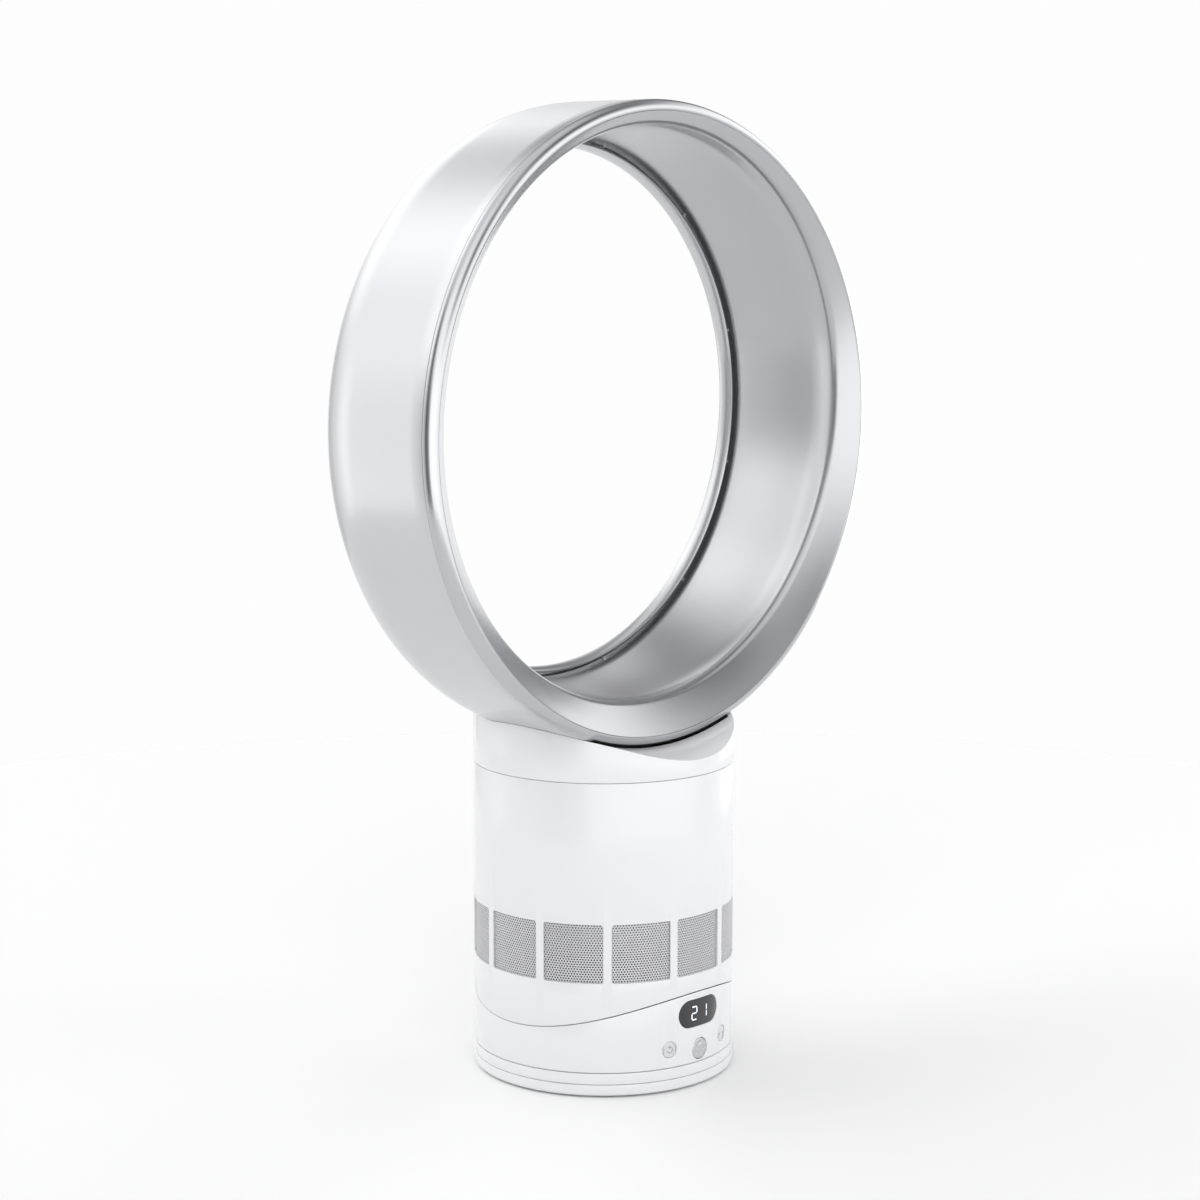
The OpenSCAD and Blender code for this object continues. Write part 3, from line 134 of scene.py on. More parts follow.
class FAN_PG_loop(bpy.types.PropertyGroup):
    """Sizes of the air loop's section"""

    radius: length("Radius", "Outer radius of the loop", high("outer_casing").x)
    centre: length("Centre", "Height of the outer form's centre", 369.0 * MM)
    lift: length("Lift", "How far the aperture's centre lies above it", 6.0 * MM)
    front: place("Front", "Place of the front plane", low("front_trim_ring").y)
    rear: place("Rear", "Place of the rear plane", high("outer_casing").y)
    nose_drop: length("Nose drop", "Radius lost over the rounded rear", 18.0 * MM)
    nose_length: length("Nose length", "Length of the rounded rear", 33.0 * MM)
    rim: length("Rim", "Radius of the polished rim", 6.2 * MM)
    wall: length("Wall", "Wall of the casings", 2.0 * MM)
    lip: length("Lip", "Radius inside the curled rear lip", 148.2 * MM)
    mouth: length("Mouth", "Radius of the guide's rear end, outside the lip", 154.5 * MM)
    ridge: length("Ridge", "Radius of the ridge between the face and the guide", 158.46 * MM)
    ridge_round: length("Ridge rounding", "Distance over which the ridge is rounded", 4.2 * MM)
    steps: bpy.props.IntProperty(
        name="Steps", description="Facets round the loop", default=288, min=96, max=400)


class FAN_PG_controls(bpy.types.PropertyGroup):
    """Sizes of the display, the buttons and the dial"""

    lens_width: length("Lens width", "Width of the display's opening", 32.0 * MM)
    lens_height: length("Lens height", "Height of the display's opening", 16.0 * MM)
    lens_place: length("Lens height above floor", "Height of the display's centre", 42.8 * MM)
    digit_height: length("Digit height", "Height of a digit", 7.4 * MM)
    button_radius: length("Button radius", "Radius of a push button", 4.5 * MM)
    button_side: length("Button side", "Sideways place of a button", 21.8 * MM)
    button_place: length("Button height", "Height of the buttons' centres", 24.8 * MM)
    dial_radius: length("Dial radius", "Radius of the speed dial", 6.0 * MM)
    dial_place: length("Dial height", "Height of the dial's centre", 21.6 * MM)


class FAN_PG_finishes(bpy.types.PropertyGroup):
    """Colours of the fan's finishes"""

    white: colour("White shell", "Glossy white moulding", (0.775, 0.78, 0.795))
    silver: colour("Silver paint", "Painted outer casing of the loop", (0.58, 0.585, 0.60))
    # The loop's inner casing wears the same silver paint, made darker: painted shade for the
    # inside of the loop
    guide: colour("Silver with painted shade", "Darker silver of the loop's inner casing", (0.455, 0.46, 0.475))
    rim: colour("Rim", "Polished rim of the loop", (0.52, 0.525, 0.54))
    sheet: colour("Sheet", "Perforated intake sheet", (0.62, 0.62, 0.63))
    key: colour("Key", "Push buttons", (0.66, 0.67, 0.69))
    ink: colour("Ink", "Marks on the push buttons", (0.20, 0.205, 0.22))
    lens: colour("Lens", "Black display lens", (0.012, 0.012, 0.014))
    digit: colour("Digits", "Lit digits of the display", (0.86, 0.92, 1.0))
    inner: colour("Inner mouldings", "Plain mouldings inside", (0.62, 0.63, 0.64))
    dark: colour("Dark mouldings", "Black mouldings inside", (0.035, 0.036, 0.04))


class FAN_PG_studio(bpy.types.PropertyGroup):
    """Camera and light"""

    focal: bpy.props.FloatProperty(
        name="Focal length", description="Lens of the camera in millimetres",
        default=81.81, min=20.0, max=200.0, unit="CAMERA")
    distance: length("Distance", "Level distance from the column's axis", 1.5309)
    height: length("Height", "Height of the camera", 0.4879)
    aside: place("Aside", "Shift of the camera to its left", 2.06 * MM)
    heading: bpy.props.FloatProperty(
        name="Heading", description="Turn of the camera round the fan's front",
        default=math.radians(46.58), subtype="ANGLE", unit="ROTATION")
    pitch: bpy.props.FloatProperty(
        name="Pitch", description="Downward tilt of the camera",
        default=math.radians(8.16), subtype="ANGLE", unit="ROTATION")
    strength: bpy.props.FloatProperty(
        name="Strength", description="Strength of the surrounding light",
        default=1.0, min=0.0, max=4.0)
    backdrop: bpy.props.FloatProperty(
        name="Backdrop", description="Brightness of the plain backdrop behind the fan",
        default=0.985, min=0.0, max=2.0)
    floor: colour("Floor", "Colour of the floor", (0.94, 0.94, 0.94))
    floor_radius: length("Floor radius", "Radius of the round floor", 1.0)


GROUPS = {
    "fan_column": FAN_PG_column,
    "fan_intake": FAN_PG_intake,
    "fan_loop": FAN_PG_loop,
    "fan_controls": FAN_PG_controls,
    "fan_finishes": FAN_PG_finishes,
    "fan_studio": FAN_PG_studio,
}


# The tent's rows: height in degrees, then the brightness of its panels from +X round to +Y
TENT = (
    (3, (2.8, 1.5, 1.0, 1.1, 0.65, 1.05, 1.65, 1.1, 0.75,
         0.1, 0.3, 1.9, 1.95, 2.05, 1.8, 1.6, 0.55, 1.1)),
    (26, (1.9, 0.1, 1.65, 1.85, 1.35, 1.8, 0.1, 1.65, 1.65, 0.1, 1.95, 1.75)),
    (52, (0.25, 0.4, 1.95, 1.0, 1.4, 0.1)),
    (90, (1.0,)),
)


# ---------------------------------------------------------------- outlines

def arc(centre, radii, start, end, count):
    """Points of an elliptic arc from one angle to another, in degrees."""
    points = []
    for step in range(count + 1):
        angle = math.radians(start + (end - start) * step / count)
        points.append((centre[0] + radii[0] * math.cos(angle),
                       centre[1] + radii[1] * math.sin(angle)))
    return points


def eased(corners, closed=True):
    """An outline whose corners are rounded: each is (r, t) or (r, t, cut, pieces)."""
    points, count = [], len(corners)
    for index, corner in enumerate(corners):
        here = Vector(corner[:2])
        if len(corner) < 3 or (not closed and index in (0, count - 1)):
            points.append(tuple(here))
            continue
        before = (Vector(corners[index - 1][:2]) - here).normalized()
        after = (Vector(corners[(index + 1) % count][:2]) - here).normalized()
        cut, pieces = corner[2], corner[3]
        first, last = here + before * cut, here + after * cut
        weight = math.cos((math.pi - before.angle(after)) / 2)
        for step in range(pieces + 1):
            t = step / pieces
            a, b, c = (1 - t) ** 2, 2 * t * (1 - t) * weight, t * t
            points.append(tuple((first * a + here * b + last * c) / (a + b + c)))
    return points


def divided(points, longest):
    """The outline with its long sides cut into equal parts."""
    out = [points[0]]
    for before, after in zip(points, points[1:]):
        gap = math.dist(before, after)
        parts = max(1, math.ceil(gap / longest))
        for step in range(1, parts + 1):
            out.append(tuple(b + (a - b) * step / parts for b, a in zip(before, after)))
    return out


# ---------------------------------------------------------------- modelling by operators

def only(obj):
    """Leaves edit mode and selects this object alone."""
    if bpy.context.object is not None and bpy.context.object.mode != "OBJECT":
        bpy.ops.object.mode_set(mode="OBJECT")
    bpy.ops.object.select_all(action="DESELECT")
    bpy.context.view_layer.objects.active = obj
    if obj is not None:
        obj.select_set(True)


def open_mesh(obj, action="DESELECT"):
    """Enters edit mode on this object, with nothing selected or with all of it."""
    only(obj)
    bpy.ops.object.mode_set(mode="EDIT")
    bpy.ops.mesh.select_mode(type="VERT")
    bpy.ops.mesh.select_all(action=action)


def close_mesh():
    """Leaves edit mode."""
    bpy.ops.object.mode_set(mode="OBJECT")


def pick(obj, test, kind="VERT"):
    """Selects, in edit mode, the vertices or edges whose ends pass the test. Returns how many."""
    bpy.ops.mesh.select_mode(type=kind)
    bpy.ops.mesh.select_all(action="DESELECT")
    mesh = bmesh.from_edit_mesh(obj.data)
    items = mesh.edges if kind == "EDGE" else mesh.verts
    for item in items:
        ends = item.verts if kind == "EDGE" else (item,)
        if test(*(end.co for end in ends)):
            item.select = True
    mesh.select_flush_mode()
    bmesh.update_edit_mesh(obj.data)
    return sum(item.select for item in items)


def named(obj, name):
    """Names an object and its mesh."""
    obj.name = name
    obj.data.name = name
    return obj


def settle():
    """Moves the active object's place, turn and scale into its mesh."""
    bpy.ops.object.transform_apply(location=True, rotation=True, scale=True)


def bevel(width, segments):
    """Rounds the selected edges."""
    bpy.ops.mesh.bevel(offset=width, offset_type="OFFSET", segments=segments, affect="EDGES",
                       clamp_overlap=False)


def heal(obj, distance=0.002 * MM):
    """Merges doubles and turns all faces outwards."""
    open_mesh(obj, "SELECT")
    bpy.ops.mesh.remove_doubles(threshold=distance)
    bpy.ops.mesh.normals_make_consistent(inside=False)
    close_mesh()
    return obj


def turned(name, outline, steps, axis="Z", centre=(0, 0, 0), closed=True):
    """A piece spun from an outline of (radius, place along the axis)."""
    middle = Vector(centre)

    def spot(point):
        if axis == "Z":
            return middle + Vector((point[0], 0, point[1]))
        return middle + Vector((point[0], point[1], 0))

    only(None)
    bpy.ops.mesh.primitive_plane_add(size=MM, location=(0, 0, 0))
    obj = named(bpy.context.object, name)
    open_mesh(obj, "SELECT")
    bpy.ops.mesh.merge(type="CENTER")
    bpy.ops.transform.translate(value=spot(outline[0]))
    for before, after in zip(outline, outline[1:]):
        bpy.ops.mesh.extrude_vertices_move(
            TRANSFORM_OT_translate={"value": spot(after) - spot(before)})
    if closed:
        first, last = spot(outline[0]), spot(outline[-1])
        pick(obj, lambda co: min((co - first).length, (co - last).length) < 0.001 * MM)
        bpy.ops.mesh.edge_face_add()
    bpy.ops.mesh.select_all(action="SELECT")
    bpy.ops.mesh.spin(
        steps=steps, angle=2 * math.pi, center=middle,
        axis=(0, 0, 1) if axis == "Z" else (0, 1, 0))
    return heal(obj, 0.001 * MM)


def rod(radius, start, end, steps=48):
    """A round bar between two points on a line along X, Y or Z, to cut or join with."""
    start, end = Vector(start), Vector(end)
    along = end - start
    turn = along.to_track_quat("Z", "Y").to_euler()
    only(None)
    bpy.ops.mesh.primitive_cylinder_add(
        vertices=steps, radius=radius, depth=along.length, location=(start + end) / 2,
        rotation=turn)
    settle()
    return named(bpy.context.object, "tool")


def core(radius, bottom, top, steps=360):
    """A round bar on the column's axis."""
    return rod(radius, (0, 0, bottom), (0, 0, top), steps)


def tilt_bar(radius):
    """A smooth bar along X about the tilt axis, a little wider than the column."""
    height, reach = bpy.context.scene.fan_column.tilt_centre, 90 * MM
    return rod(radius, (-reach, 0, height), (reach, 0, height), 1080)


def block(lowest, highest, name="tool"):
    """A box between two corners, to cut or join with."""
    lowest, highest = Vector(lowest), Vector(highest)
    only(None)
    bpy.ops.mesh.primitive_cube_add(
        size=1, location=(lowest + highest) / 2, scale=highest - lowest)
    settle()
    return named(bpy.context.object, name)


def plate(width, height, radius, y_low, y_high, centre_z, name="tool", pieces=8):
    """A flat plate facing the front, with round corners."""
    obj = block((-width / 2, y_low, centre_z - height / 2),
                (width / 2, y_high, centre_z + height / 2), name)
    open_mesh(obj)
    pick(obj, lambda a, b: abs(a.y - b.y) > (y_high - y_low) / 2, "EDGE")
    bevel(radius, pieces)
    bpy.ops.mesh.select_all(action="SELECT")
    bpy.ops.mesh.remove_doubles(threshold=0.002 * MM)
    close_mesh()
    return obj


def copied(obj, turn=0.0):
    """A copy of the piece with a mesh of its own, turned round the column's axis."""
    only(obj)
    bpy.ops.object.duplicate()
    copy = bpy.context.object
    copy.rotation_euler = (0, 0, turn)
    settle()
    return copy


def joined(objects):
    """Joins the objects into the first."""
    only(objects[0])
    for obj in objects:
        obj.select_set(True)
    if len(objects) > 1:
        bpy.ops.object.join()
    return objects[0]


def ring_of(obj, count, start=0.0):
    """Copies of an object round the column's axis, joined into one."""
    copies = [copied(obj, start + 2 * math.pi * index / count) for index in range(1, count)]
    if start:
        only(obj)
        obj.rotation_euler = (0, 0, start)
        settle()
    return joined([obj, *copies])


def modified(obj, kind, **settings):
    """Gives the piece a modifier with these settings and applies it."""
    only(obj)
    bpy.ops.object.modifier_add(type=kind)
    modifier = obj.modifiers[-1]
    for key, value in settings.items():
        setattr(modifier, key, value)
    bpy.ops.object.modifier_apply(modifier=modifier.name)
    return obj


def combine(obj, tool, operation="DIFFERENCE"):
    """Cuts the tool from the piece, or joins it, or keeps what they share."""
    modified(obj, "BOOLEAN", operation=operation, solver="EXACT", object=tool)
    if not len(obj.data.polygons):
        raise RuntimeError(f"nothing is left of {obj.name} after {operation.lower()}")
    only(tool)
    bpy.ops.object.delete()
    return obj


def cut(obj, *tools):
    """Cuts each tool from the piece in turn."""
    for tool in tools:
        combine(obj, tool)
    return obj


def trimmed(obj, inner, outer, bottom, top):
    """Keeps what lies between two radii of the column."""
    combine(obj, core(outer, bottom, top), "INTERSECT")
    return combine(obj, core(inner, bottom, top))


def rounded(obj, width, segments, test, merge=0.1 * MM):
    """Small roundings on the sharp edges whose two ends pass the test, once these are tidy."""
    open_mesh(obj)
    if not pick(obj, test):
        raise RuntimeError(f"no edge of {obj.name} is where it gets rounded")
    bpy.ops.mesh.remove_doubles(threshold=merge)
    bpy.ops.mesh.select_all(action="DESELECT")
    bpy.ops.mesh.select_mode(type="EDGE")
    mesh = bmesh.from_edit_mesh(obj.data)
    sharp = math.radians(40)
    for edge in mesh.edges:
        if (edge.is_manifold and edge.calc_face_angle() > sharp
                and all(test(vert.co) for vert in edge.verts)):
            edge.select = True
    mesh.select_flush_mode()
    bmesh.update_edit_mesh(obj.data)
    bevel(width, segments)
    close_mesh()
    return obj


def at_skin(radius, bottom, top):
    """A test for places on a round skin between two heights."""
    return lambda co: math.hypot(co.x, co.y) > radius - 0.3 * MM and bottom < co.z < top


def smooth(obj, angle=28):
    """Shades the piece smooth, apart from edges sharper than this angle."""
    only(obj)
    bpy.ops.object.shade_smooth_by_angle(angle=math.radians(angle))
    return obj


def placed(obj, body, slot, *nodes, finish=None):
    """Gives a finished piece its material, from its slot unless a finish is given, puts it under
    its body, and hides the nodes it stands for.
    """
    obj.data.materials.clear()
    obj.data.materials.append(finish or finish_of(slot))
    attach(obj, body)
    if nodes:
        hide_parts(*nodes)
    return obj


# ---------------------------------------------------------------- materials

class Wire:
    """A node's output that takes plain arithmetic, each step adding one Math node."""

    def __init__(self, graph, socket):
        self.graph = graph
        self.socket = socket

    def _with(self, operation, first, second):
        return self.graph.out("ShaderNodeMath", {"operation": operation}, {0: first, 1: second})

    def __add__(self, other):
        return self._with("ADD", self, other)

    def __radd__(self, other):
        return self._with("ADD", other, self)

    def __sub__(self, other):
        return self._with("SUBTRACT", self, other)

    def __rsub__(self, other):
        return self._with("SUBTRACT", other, self)

    def __mul__(self, other):
        return self._with("MULTIPLY", self, other)

    def __rmul__(self, other):
        return self._with("MULTIPLY", other, self)

    def __truediv__(self, other):
        return self._with("DIVIDE", self, other)

    def __rtruediv__(self, other):
        return self._with("DIVIDE", other, self)

    def __gt__(self, other):
        return self._with("GREATER_THAN", self, other)

    def __lt__(self, other):
        return self._with("LESS_THAN", self, other)


class Graph:
    """The nodes of one material or of the world."""

    def __init__(self, tree):
        self.tree = tree
        tree.nodes.clear()

    def add(self, kind, settings=None, sockets=None):
        """Adds a node, makes its settings, then fills its sockets with values or wires."""
        made = self.tree.nodes.new(kind)
        for key, value in (settings or {}).items():
            if key == "stops":
                ramp = made.color_ramp.elements
                while len(ramp) < len(value):
                    ramp.new(0.5)
                for element, (position, shade) in zip(ramp, value):
                    element.position = position
                    element.color = (shade, shade, shade, 1)
            elif key == "interpolation":
                made.color_ramp.interpolation = value
            else:
                setattr(made, key, value)
        self.fill(made, sockets or {})
        return made

    def fill(self, node, sockets):
        """Gives a node's sockets their values or wires."""
        for key, value in sockets.items():
            target = node.inputs[key]
            if isinstance(value, Wire):
                self.tree.links.new(value.socket, target)
            elif target.type == "RGBA" and len(value) == 3:
                target.default_value = (*value, 1)
            else:
                target.default_value = value

    def out(self, kind, settings=None, sockets=None, output=0):
        """Adds a node and gives one of its outputs."""
        return Wire(self, self.add(kind, settings, sockets).outputs[output])

    def place(self, scale=(1, 1, 1)):
        """The object's own coordinates, in metres, stretched by a scale."""
        spot = self.out("ShaderNodeTexCoord", output="Object")
        if tuple(scale) == (1, 1, 1):
            return spot
        return self.out("ShaderNodeMapping", {}, {"Vector": spot, "Scale": scale})

    def noise(self, scale, detail=2.0, rough=0.5, stretch=(1, 1, 1)):
        """Soft noise, from 0 to 1."""
        return self.out("ShaderNodeTexNoise", {}, {
            "Vector": self.place(stretch), "Scale": scale, "Detail": detail, "Roughness": rough})

    def cells(self, scale, output, **settings):
        """Voronoi cells: their colours or the distance to their points."""
        return self.out("ShaderNodeTexVoronoi", {"feature": "F1", **settings},
                        {"Vector": self.place(), "Scale": scale}, output)

    def mix(self, share, first, second):
        """A colour between two colours."""
        return self.out("ShaderNodeMix", {"data_type": "RGBA"},
                        {0: share, 6: first, 7: second}, output=2)

    def vector(self, operation, first, second=None, output=0):
        """One step of vector arithmetic."""
        values = {0: first} if second is None else {0: first, 1: second}
        return self.out("ShaderNodeVectorMath", {"operation": operation}, values, output)

    def bump(self, height, strength, distance):
        """A surface normal bent by a height."""
        return self.out("ShaderNodeBump", {}, {
            "Height": height, "Strength": strength, "Distance": distance})


def surface(title, **constants):
    """Turns a function that gives what varies over a surface into one that makes its material."""
    def wrap(sockets):
        def make(*values, name=title):
            made = bpy.data.materials.new(name)
            made.use_nodes = True
            graph = Graph(made.node_tree)
            shader = graph.add("ShaderNodeBsdfPrincipled", {}, {
                key.replace("_", " "): value for key, value in constants.items()})
            graph.fill(shader, sockets(graph, *values))
            graph.add("ShaderNodeOutputMaterial", {}, {0: Wire(graph, shader.outputs[0])})
            made.diffuse_color = (0.7, 0.7, 0.7, 1)
            return made
        return make
    return wrap


def scaled(shade, factor):
    """A colour made darker or lighter."""
    return tuple(min(1.0, part * factor) for part in shade)


@surface("glossy white moulding", Coat_Weight=0.25, Coat_Roughness=0.06)
def glossy_white(graph, shade):
    """Glossy white moulding: a very slight warm and cool drift, orange peel and gloss changes."""
    drift = graph.noise(9.0, 2.0)
    peel = graph.noise(420.0, 2.0, 0.5)
    return {
        "Base Color": graph.mix(drift, scaled(shade, 0.985), scaled(shade, 1.012)),
        "Roughness": 0.13 + graph.noise(38.0, 3.0) * 0.07,
        "Normal": graph.bump(peel, 0.05, 0.03 * MM),
    }


@surface("silver paint", Metallic=0.85, Coat_Weight=0.15, Coat_Roughness=0.12)
def silver_paint(graph, shade, rough=0.21):
    """Fine metallic paint: flakes in the colour and in the surface, under a thin clear coat."""
    grain = graph.out("ShaderNodeSeparateColor", {}, {0: graph.cells(1700.0, "Color")})
    cloud = graph.noise(26.0, 3.0)
    tone = graph.mix(grain, scaled(shade, 0.98), scaled(shade, 1.02))
    fine = graph.noise(2400.0, 1.0)
    return {
        "Base Color": graph.mix(cloud * 0.5, tone, scaled(shade, 1.02)),
        "Roughness": rough + cloud * 0.04 + grain * 0.02,
        "Normal": graph.bump(fine + grain * 0.5, 0.03, 0.02 * MM),
    }


@surface("polished rim", Metallic=0.95, Coat_Weight=0.1, Coat_Roughness=0.08)
def polished_rim(graph, shade):
    """Polished silver with faint turning lines round the loop."""
    centre = (0, 0, bpy.context.scene.fan_loop.centre)
    flat = graph.vector("MULTIPLY", graph.place(), (1, 0, 1))
    reach = graph.vector("LENGTH", graph.vector("SUBTRACT", flat, centre), output="Value")
    lines = graph.out("ShaderNodeTexNoise", {"noise_dimensions": "1D"},
                      {"W": reach, "Scale": 5200.0, "Detail": 2.0})
    cloud = graph.noise(40.0, 3.0)
    return {
        "Base Color": graph.mix(cloud, scaled(shade, 0.97), scaled(shade, 1.03)),
        "Roughness": 0.17 + cloud * 0.06,
        "Normal": graph.bump(lines, 0.06, 0.01 * MM),
    }


@surface("drilled sheet", Metallic=0.45)
def drilled_sheet(graph, shade):
    """Drilled aluminium sheet with a light grain along the column."""
    grain = graph.noise(900.0, 2.0, 0.6, (1, 1, 0.08))
    return {
        "Base Color": graph.mix(grain, scaled(shade, 0.93), scaled(shade, 1.04)),
        "Roughness": 0.34 + grain * 0.12,
        "Normal": graph.bump(grain, 0.08, 0.02 * MM),
    }


@surface("moulding")
def moulding(graph, shade, rough, grain_scale=1400.0, depth=0.12):
    """Plain moulded plastic or rubber with a fine spark-eroded grain."""
    grain = graph.noise(grain_scale, 3.0, 0.55)
    cloud = graph.noise(30.0, 2.0)
    return {
        "Base Color": graph.mix(cloud, scaled(shade, 0.95), scaled(shade, 1.05)),
        "Roughness": rough + grain * 0.10,
        "Normal": graph.bump(grain, depth, 0.04 * MM),
    }


@surface("black display lens", Coat_Weight=0.6, Coat_Roughness=0.03)
def black_lens(graph, shade):
    """Black polished window over the display, with a few faint wipe marks in its gloss."""
    wipe = graph.noise(55.0, 3.0, 0.6, (0.35, 1, 1.6))
    return {
        "Base Color": graph.mix(wipe, shade, scaled(shade, 1.5)),
        "Roughness": 0.04 + wipe * 0.05,
    }


@surface("lit digit", Roughness=0.4, Emission_Strength=0.55)
def lit_digit(graph, shade):
    """A lit bar of the display."""
    glow = graph.noise(900.0, 1.0)
    return {
        "Base Color": graph.mix(glow, scaled(shade, 0.85), shade),
        "Emission Color": graph.mix(glow, scaled(shade, 0.9), shade),
    }


@surface("open foam")
def foam(graph, shade):
    """Open foam: rounded pores, with painted shade darkening their bottoms."""
    pore = graph.cells(750.0, "Distance")
    return {
        # The colour darkens with the cell distance, where the bump is low: painted shade at the
        # pores' bottoms
        "Base Color": graph.mix(pore, scaled(shade, 1.5), scaled(shade, 0.5)),
        "Roughness": 0.88 + pore * 0.1,
        "Normal": graph.bump(1 - pore, 0.7, 0.5 * MM),
    }


@surface("rolled steel", Metallic=1.0)
def steel(graph, shade):
    """Rolled steel with fine lines and worn, duller patches."""
    lines = graph.noise(700.0, 2.0, 0.6, (1, 0.06, 1))
    wear = graph.noise(60.0, 4.0)
    return {
        "Base Color": graph.mix(wear, scaled(shade, 0.9), scaled(shade, 1.08)),
        "Roughness": 0.26 + lines * 0.10 + wear * 0.10,
        "Normal": graph.bump(lines, 0.12, 0.02 * MM),
    }


@surface("pressed ferrite", Metallic=0.35)
def magnet(graph, shade):
    """Pressed ferrite: grey grains, chalky surface."""
    grain = graph.noise(1300.0, 4.0, 0.7)
    return {
        "Base Color": graph.mix(grain, scaled(shade, 0.7), scaled(shade, 1.4)),
        "Roughness": 0.6 + grain * 0.2,
        "Normal": graph.bump(grain, 0.25, 0.06 * MM),
    }


@surface("enamelled wire", Metallic=0.8, Coat_Weight=0.3)
def copper_wire(graph, shade):
    """Enamelled wire laid turn by turn, with painted shade darkening the grooves between the
    turns.
    """
    turns = graph.out("ShaderNodeTexWave", {"wave_type": "BANDS", "bands_direction": "DIAGONAL"},
                      {"Vector": graph.place(), "Scale": 420.0, "Distortion": 0.6})
    return {
        # The colour follows the bump's bands and is darker where the surface is low: painted shade
        # between the turns
        "Base Color": graph.mix(turns, scaled(shade, 0.55), scaled(shade, 1.1)),
        "Roughness": 0.28 + turns * 0.12,
        "Normal": graph.bump(turns, 0.6, 0.2 * MM),
    }


@surface("circuit board", Coat_Weight=0.3)
def circuit_board(graph, shade):
    """Green board with paler tracks under the varnish."""
    cell = graph.cells(260.0, "Distance", distance="MANHATTAN")
    track = (cell > 0.42) * (cell < 0.55)
    return {
        "Base Color": graph.mix(track, shade, scaled(shade, 2.1)),
        "Roughness": 0.3 + track * 0.1,
        "Normal": graph.bump(track, 0.3, 0.05 * MM),
    }


@surface("studio floor", Specular_IOR_Level=0.1)
def studio_floor(graph, shade):
    """Matt pale floor."""
    tone = graph.noise(1.4, 2.0)
    return {
        "Base Color": graph.mix(tone, scaled(shade, 0.995), scaled(shade, 1.005)),
        "Roughness": 0.7 + tone * 0.05,
    }


# ---------------------------------------------------------------- operators

class FanOperator:
    """What all operators of the fan share."""

    bl_options = {"REGISTER", "UNDO"}

    def execute(self, context):
        self.build(context.scene)
        only(None)
        return {"FINISHED"}


class FAN_OT_finishes(FanOperator, bpy.types.Operator):
    """Make the fan's materials and give the inner pieces theirs"""

    bl_idname = "fan.finishes"
    bl_label = "Finishes"

    def build(self, scene):
        tones = scene.fan_finishes
        made = {
            "white_shell": glossy_white(tones.white),
            "silver_casing": silver_paint(tones.silver),
            # The inner casing's silver is the casing paint darkened as painted shade for the
            # inside of the loop
            "silver_guide": silver_paint(tones.guide, name="guide paint"),
            "silver_rim": polished_rim(tones.rim),
            "silver_control": silver_paint(scaled(tones.silver, 1.05), 0.24, name="silver dial"),
            "pale_key": moulding(tones.key, 0.30, 1800.0, 0.06, name="pale key"),
            "black_lens": black_lens(tones.lens),
            "grille": drilled_sheet(tones.sheet),
            "rubber": moulding((0.03, 0.03, 0.033), 0.62, 900.0, 0.2, name="black rubber"),
            "foam": foam((0.05, 0.05, 0.055)),
            "inner_plastic": moulding(tones.inner, 0.42, name="inner moulding"),
            "black_plastic": moulding(tones.dark, 0.36, name="dark moulding"),
            "steel": steel((0.56, 0.57, 0.58)),
            "magnet": magnet((0.10, 0.10, 0.11)),
            "winding": copper_wire((0.72, 0.36, 0.16)),
            "board": circuit_board((0.03, 0.16, 0.08)),
        }
        for slot, finish in made.items():
            finish["fan_slot"] = slot
        for part in frame["record"]["subparts"]:
            node = frame["nodes"][part["node"]]
            node.data.materials.clear()
            node.data.materials.append(made[part["material_slot"]])


def finish_of(slot):
    """The material made for a slot of the record."""
    for found in bpy.data.materials:
        if found.get("fan_slot") == slot:
            return found
    raise RuntimeError(f"the finishes hold no {slot}; run Finishes first")


class FAN_OT_foot(FanOperator, bpy.types.Operator):
    """Model the still foot: the cover with its recesses and the ring over it"""

    bl_idname = "fan.foot"
    bl_label = "Foot"

    PADS, SCREWS = 60 * MM, 46 * MM  # circles on which the pads and the screws lie

    @staticmethod
    def five(radius, circle, bottom, top, steps=32, start=math.radians(36)):
        """Five upright bars on a circle."""
        return ring_of(rod(radius, (0, circle, bottom), (0, circle, top), steps), 5, start)

    def build(self, scene):
        size = scene.fan_column
        out, steps, split, rise = size.radius, size.steps, size.foot_bottom, size.foot_top
        inner, bottom, top = out - size.wall, size.cover_bottom, size.cover_top

        def gland():
            """The bore of the cord's gland and the wider seat inside it."""
            return [rod(radius, (0, out - 13 * MM, split), (0, end, split))
                    for radius, end in ((3.5 * MM, out + MM), (4.7 * MM, inner - MM))]

        ledge, floor = 10.3 * MM, bottom + 2.4 * MM
        cover = turned("foot_cover", eased([
            (0, bottom), (out, bottom, 2.0 * MM, 8), (out, top, size.edge, 2),
            (inner - 0.1 * MM, top), (inner - 0.1 * MM, ledge), (inner - 1.6 * MM, ledge),
            (inner - 1.6 * MM, floor), (0, floor)], False), steps, closed=False)
        cut(cover, self.five(7.1 * MM, self.PADS, 0, 2.2 * MM, 64, 0.0),
            self.five(3.0 * MM, self.SCREWS, 0, 2.4 * MM),
            self.five(1.6 * MM, self.SCREWS, 0, 5 * MM), *gland())
        smooth(rounded(cover, 0.15 * MM, 1,
                       lambda co: co.z < bottom + 0.1 * MM and co.xy.length < 70 * MM))
        placed(cover, "foot", "white_shell", "bottom_cover")

        bore, web, shelf = 11.1 * MM, 12.4 * MM, 10.4 * MM
        ring = turned("foot_ring", eased([
            (inner, split), (out, split, size.edge, 2), (out, rise, size.edge, 2),
            (inner, rise, 0.2 * MM, 1), (inner, web), (bore, web), (bore, shelf),
            (inner, shelf)]), steps)
        combine(ring, self.five(3.6 * MM, self.SCREWS, 3.4 * MM, 11 * MM, 48), "UNION")
        cut(ring, self.five(1.5 * MM, self.SCREWS, 2 * MM, shelf), *gland())
        placed(smooth(ring), "foot", "white_shell", "foot_shell")


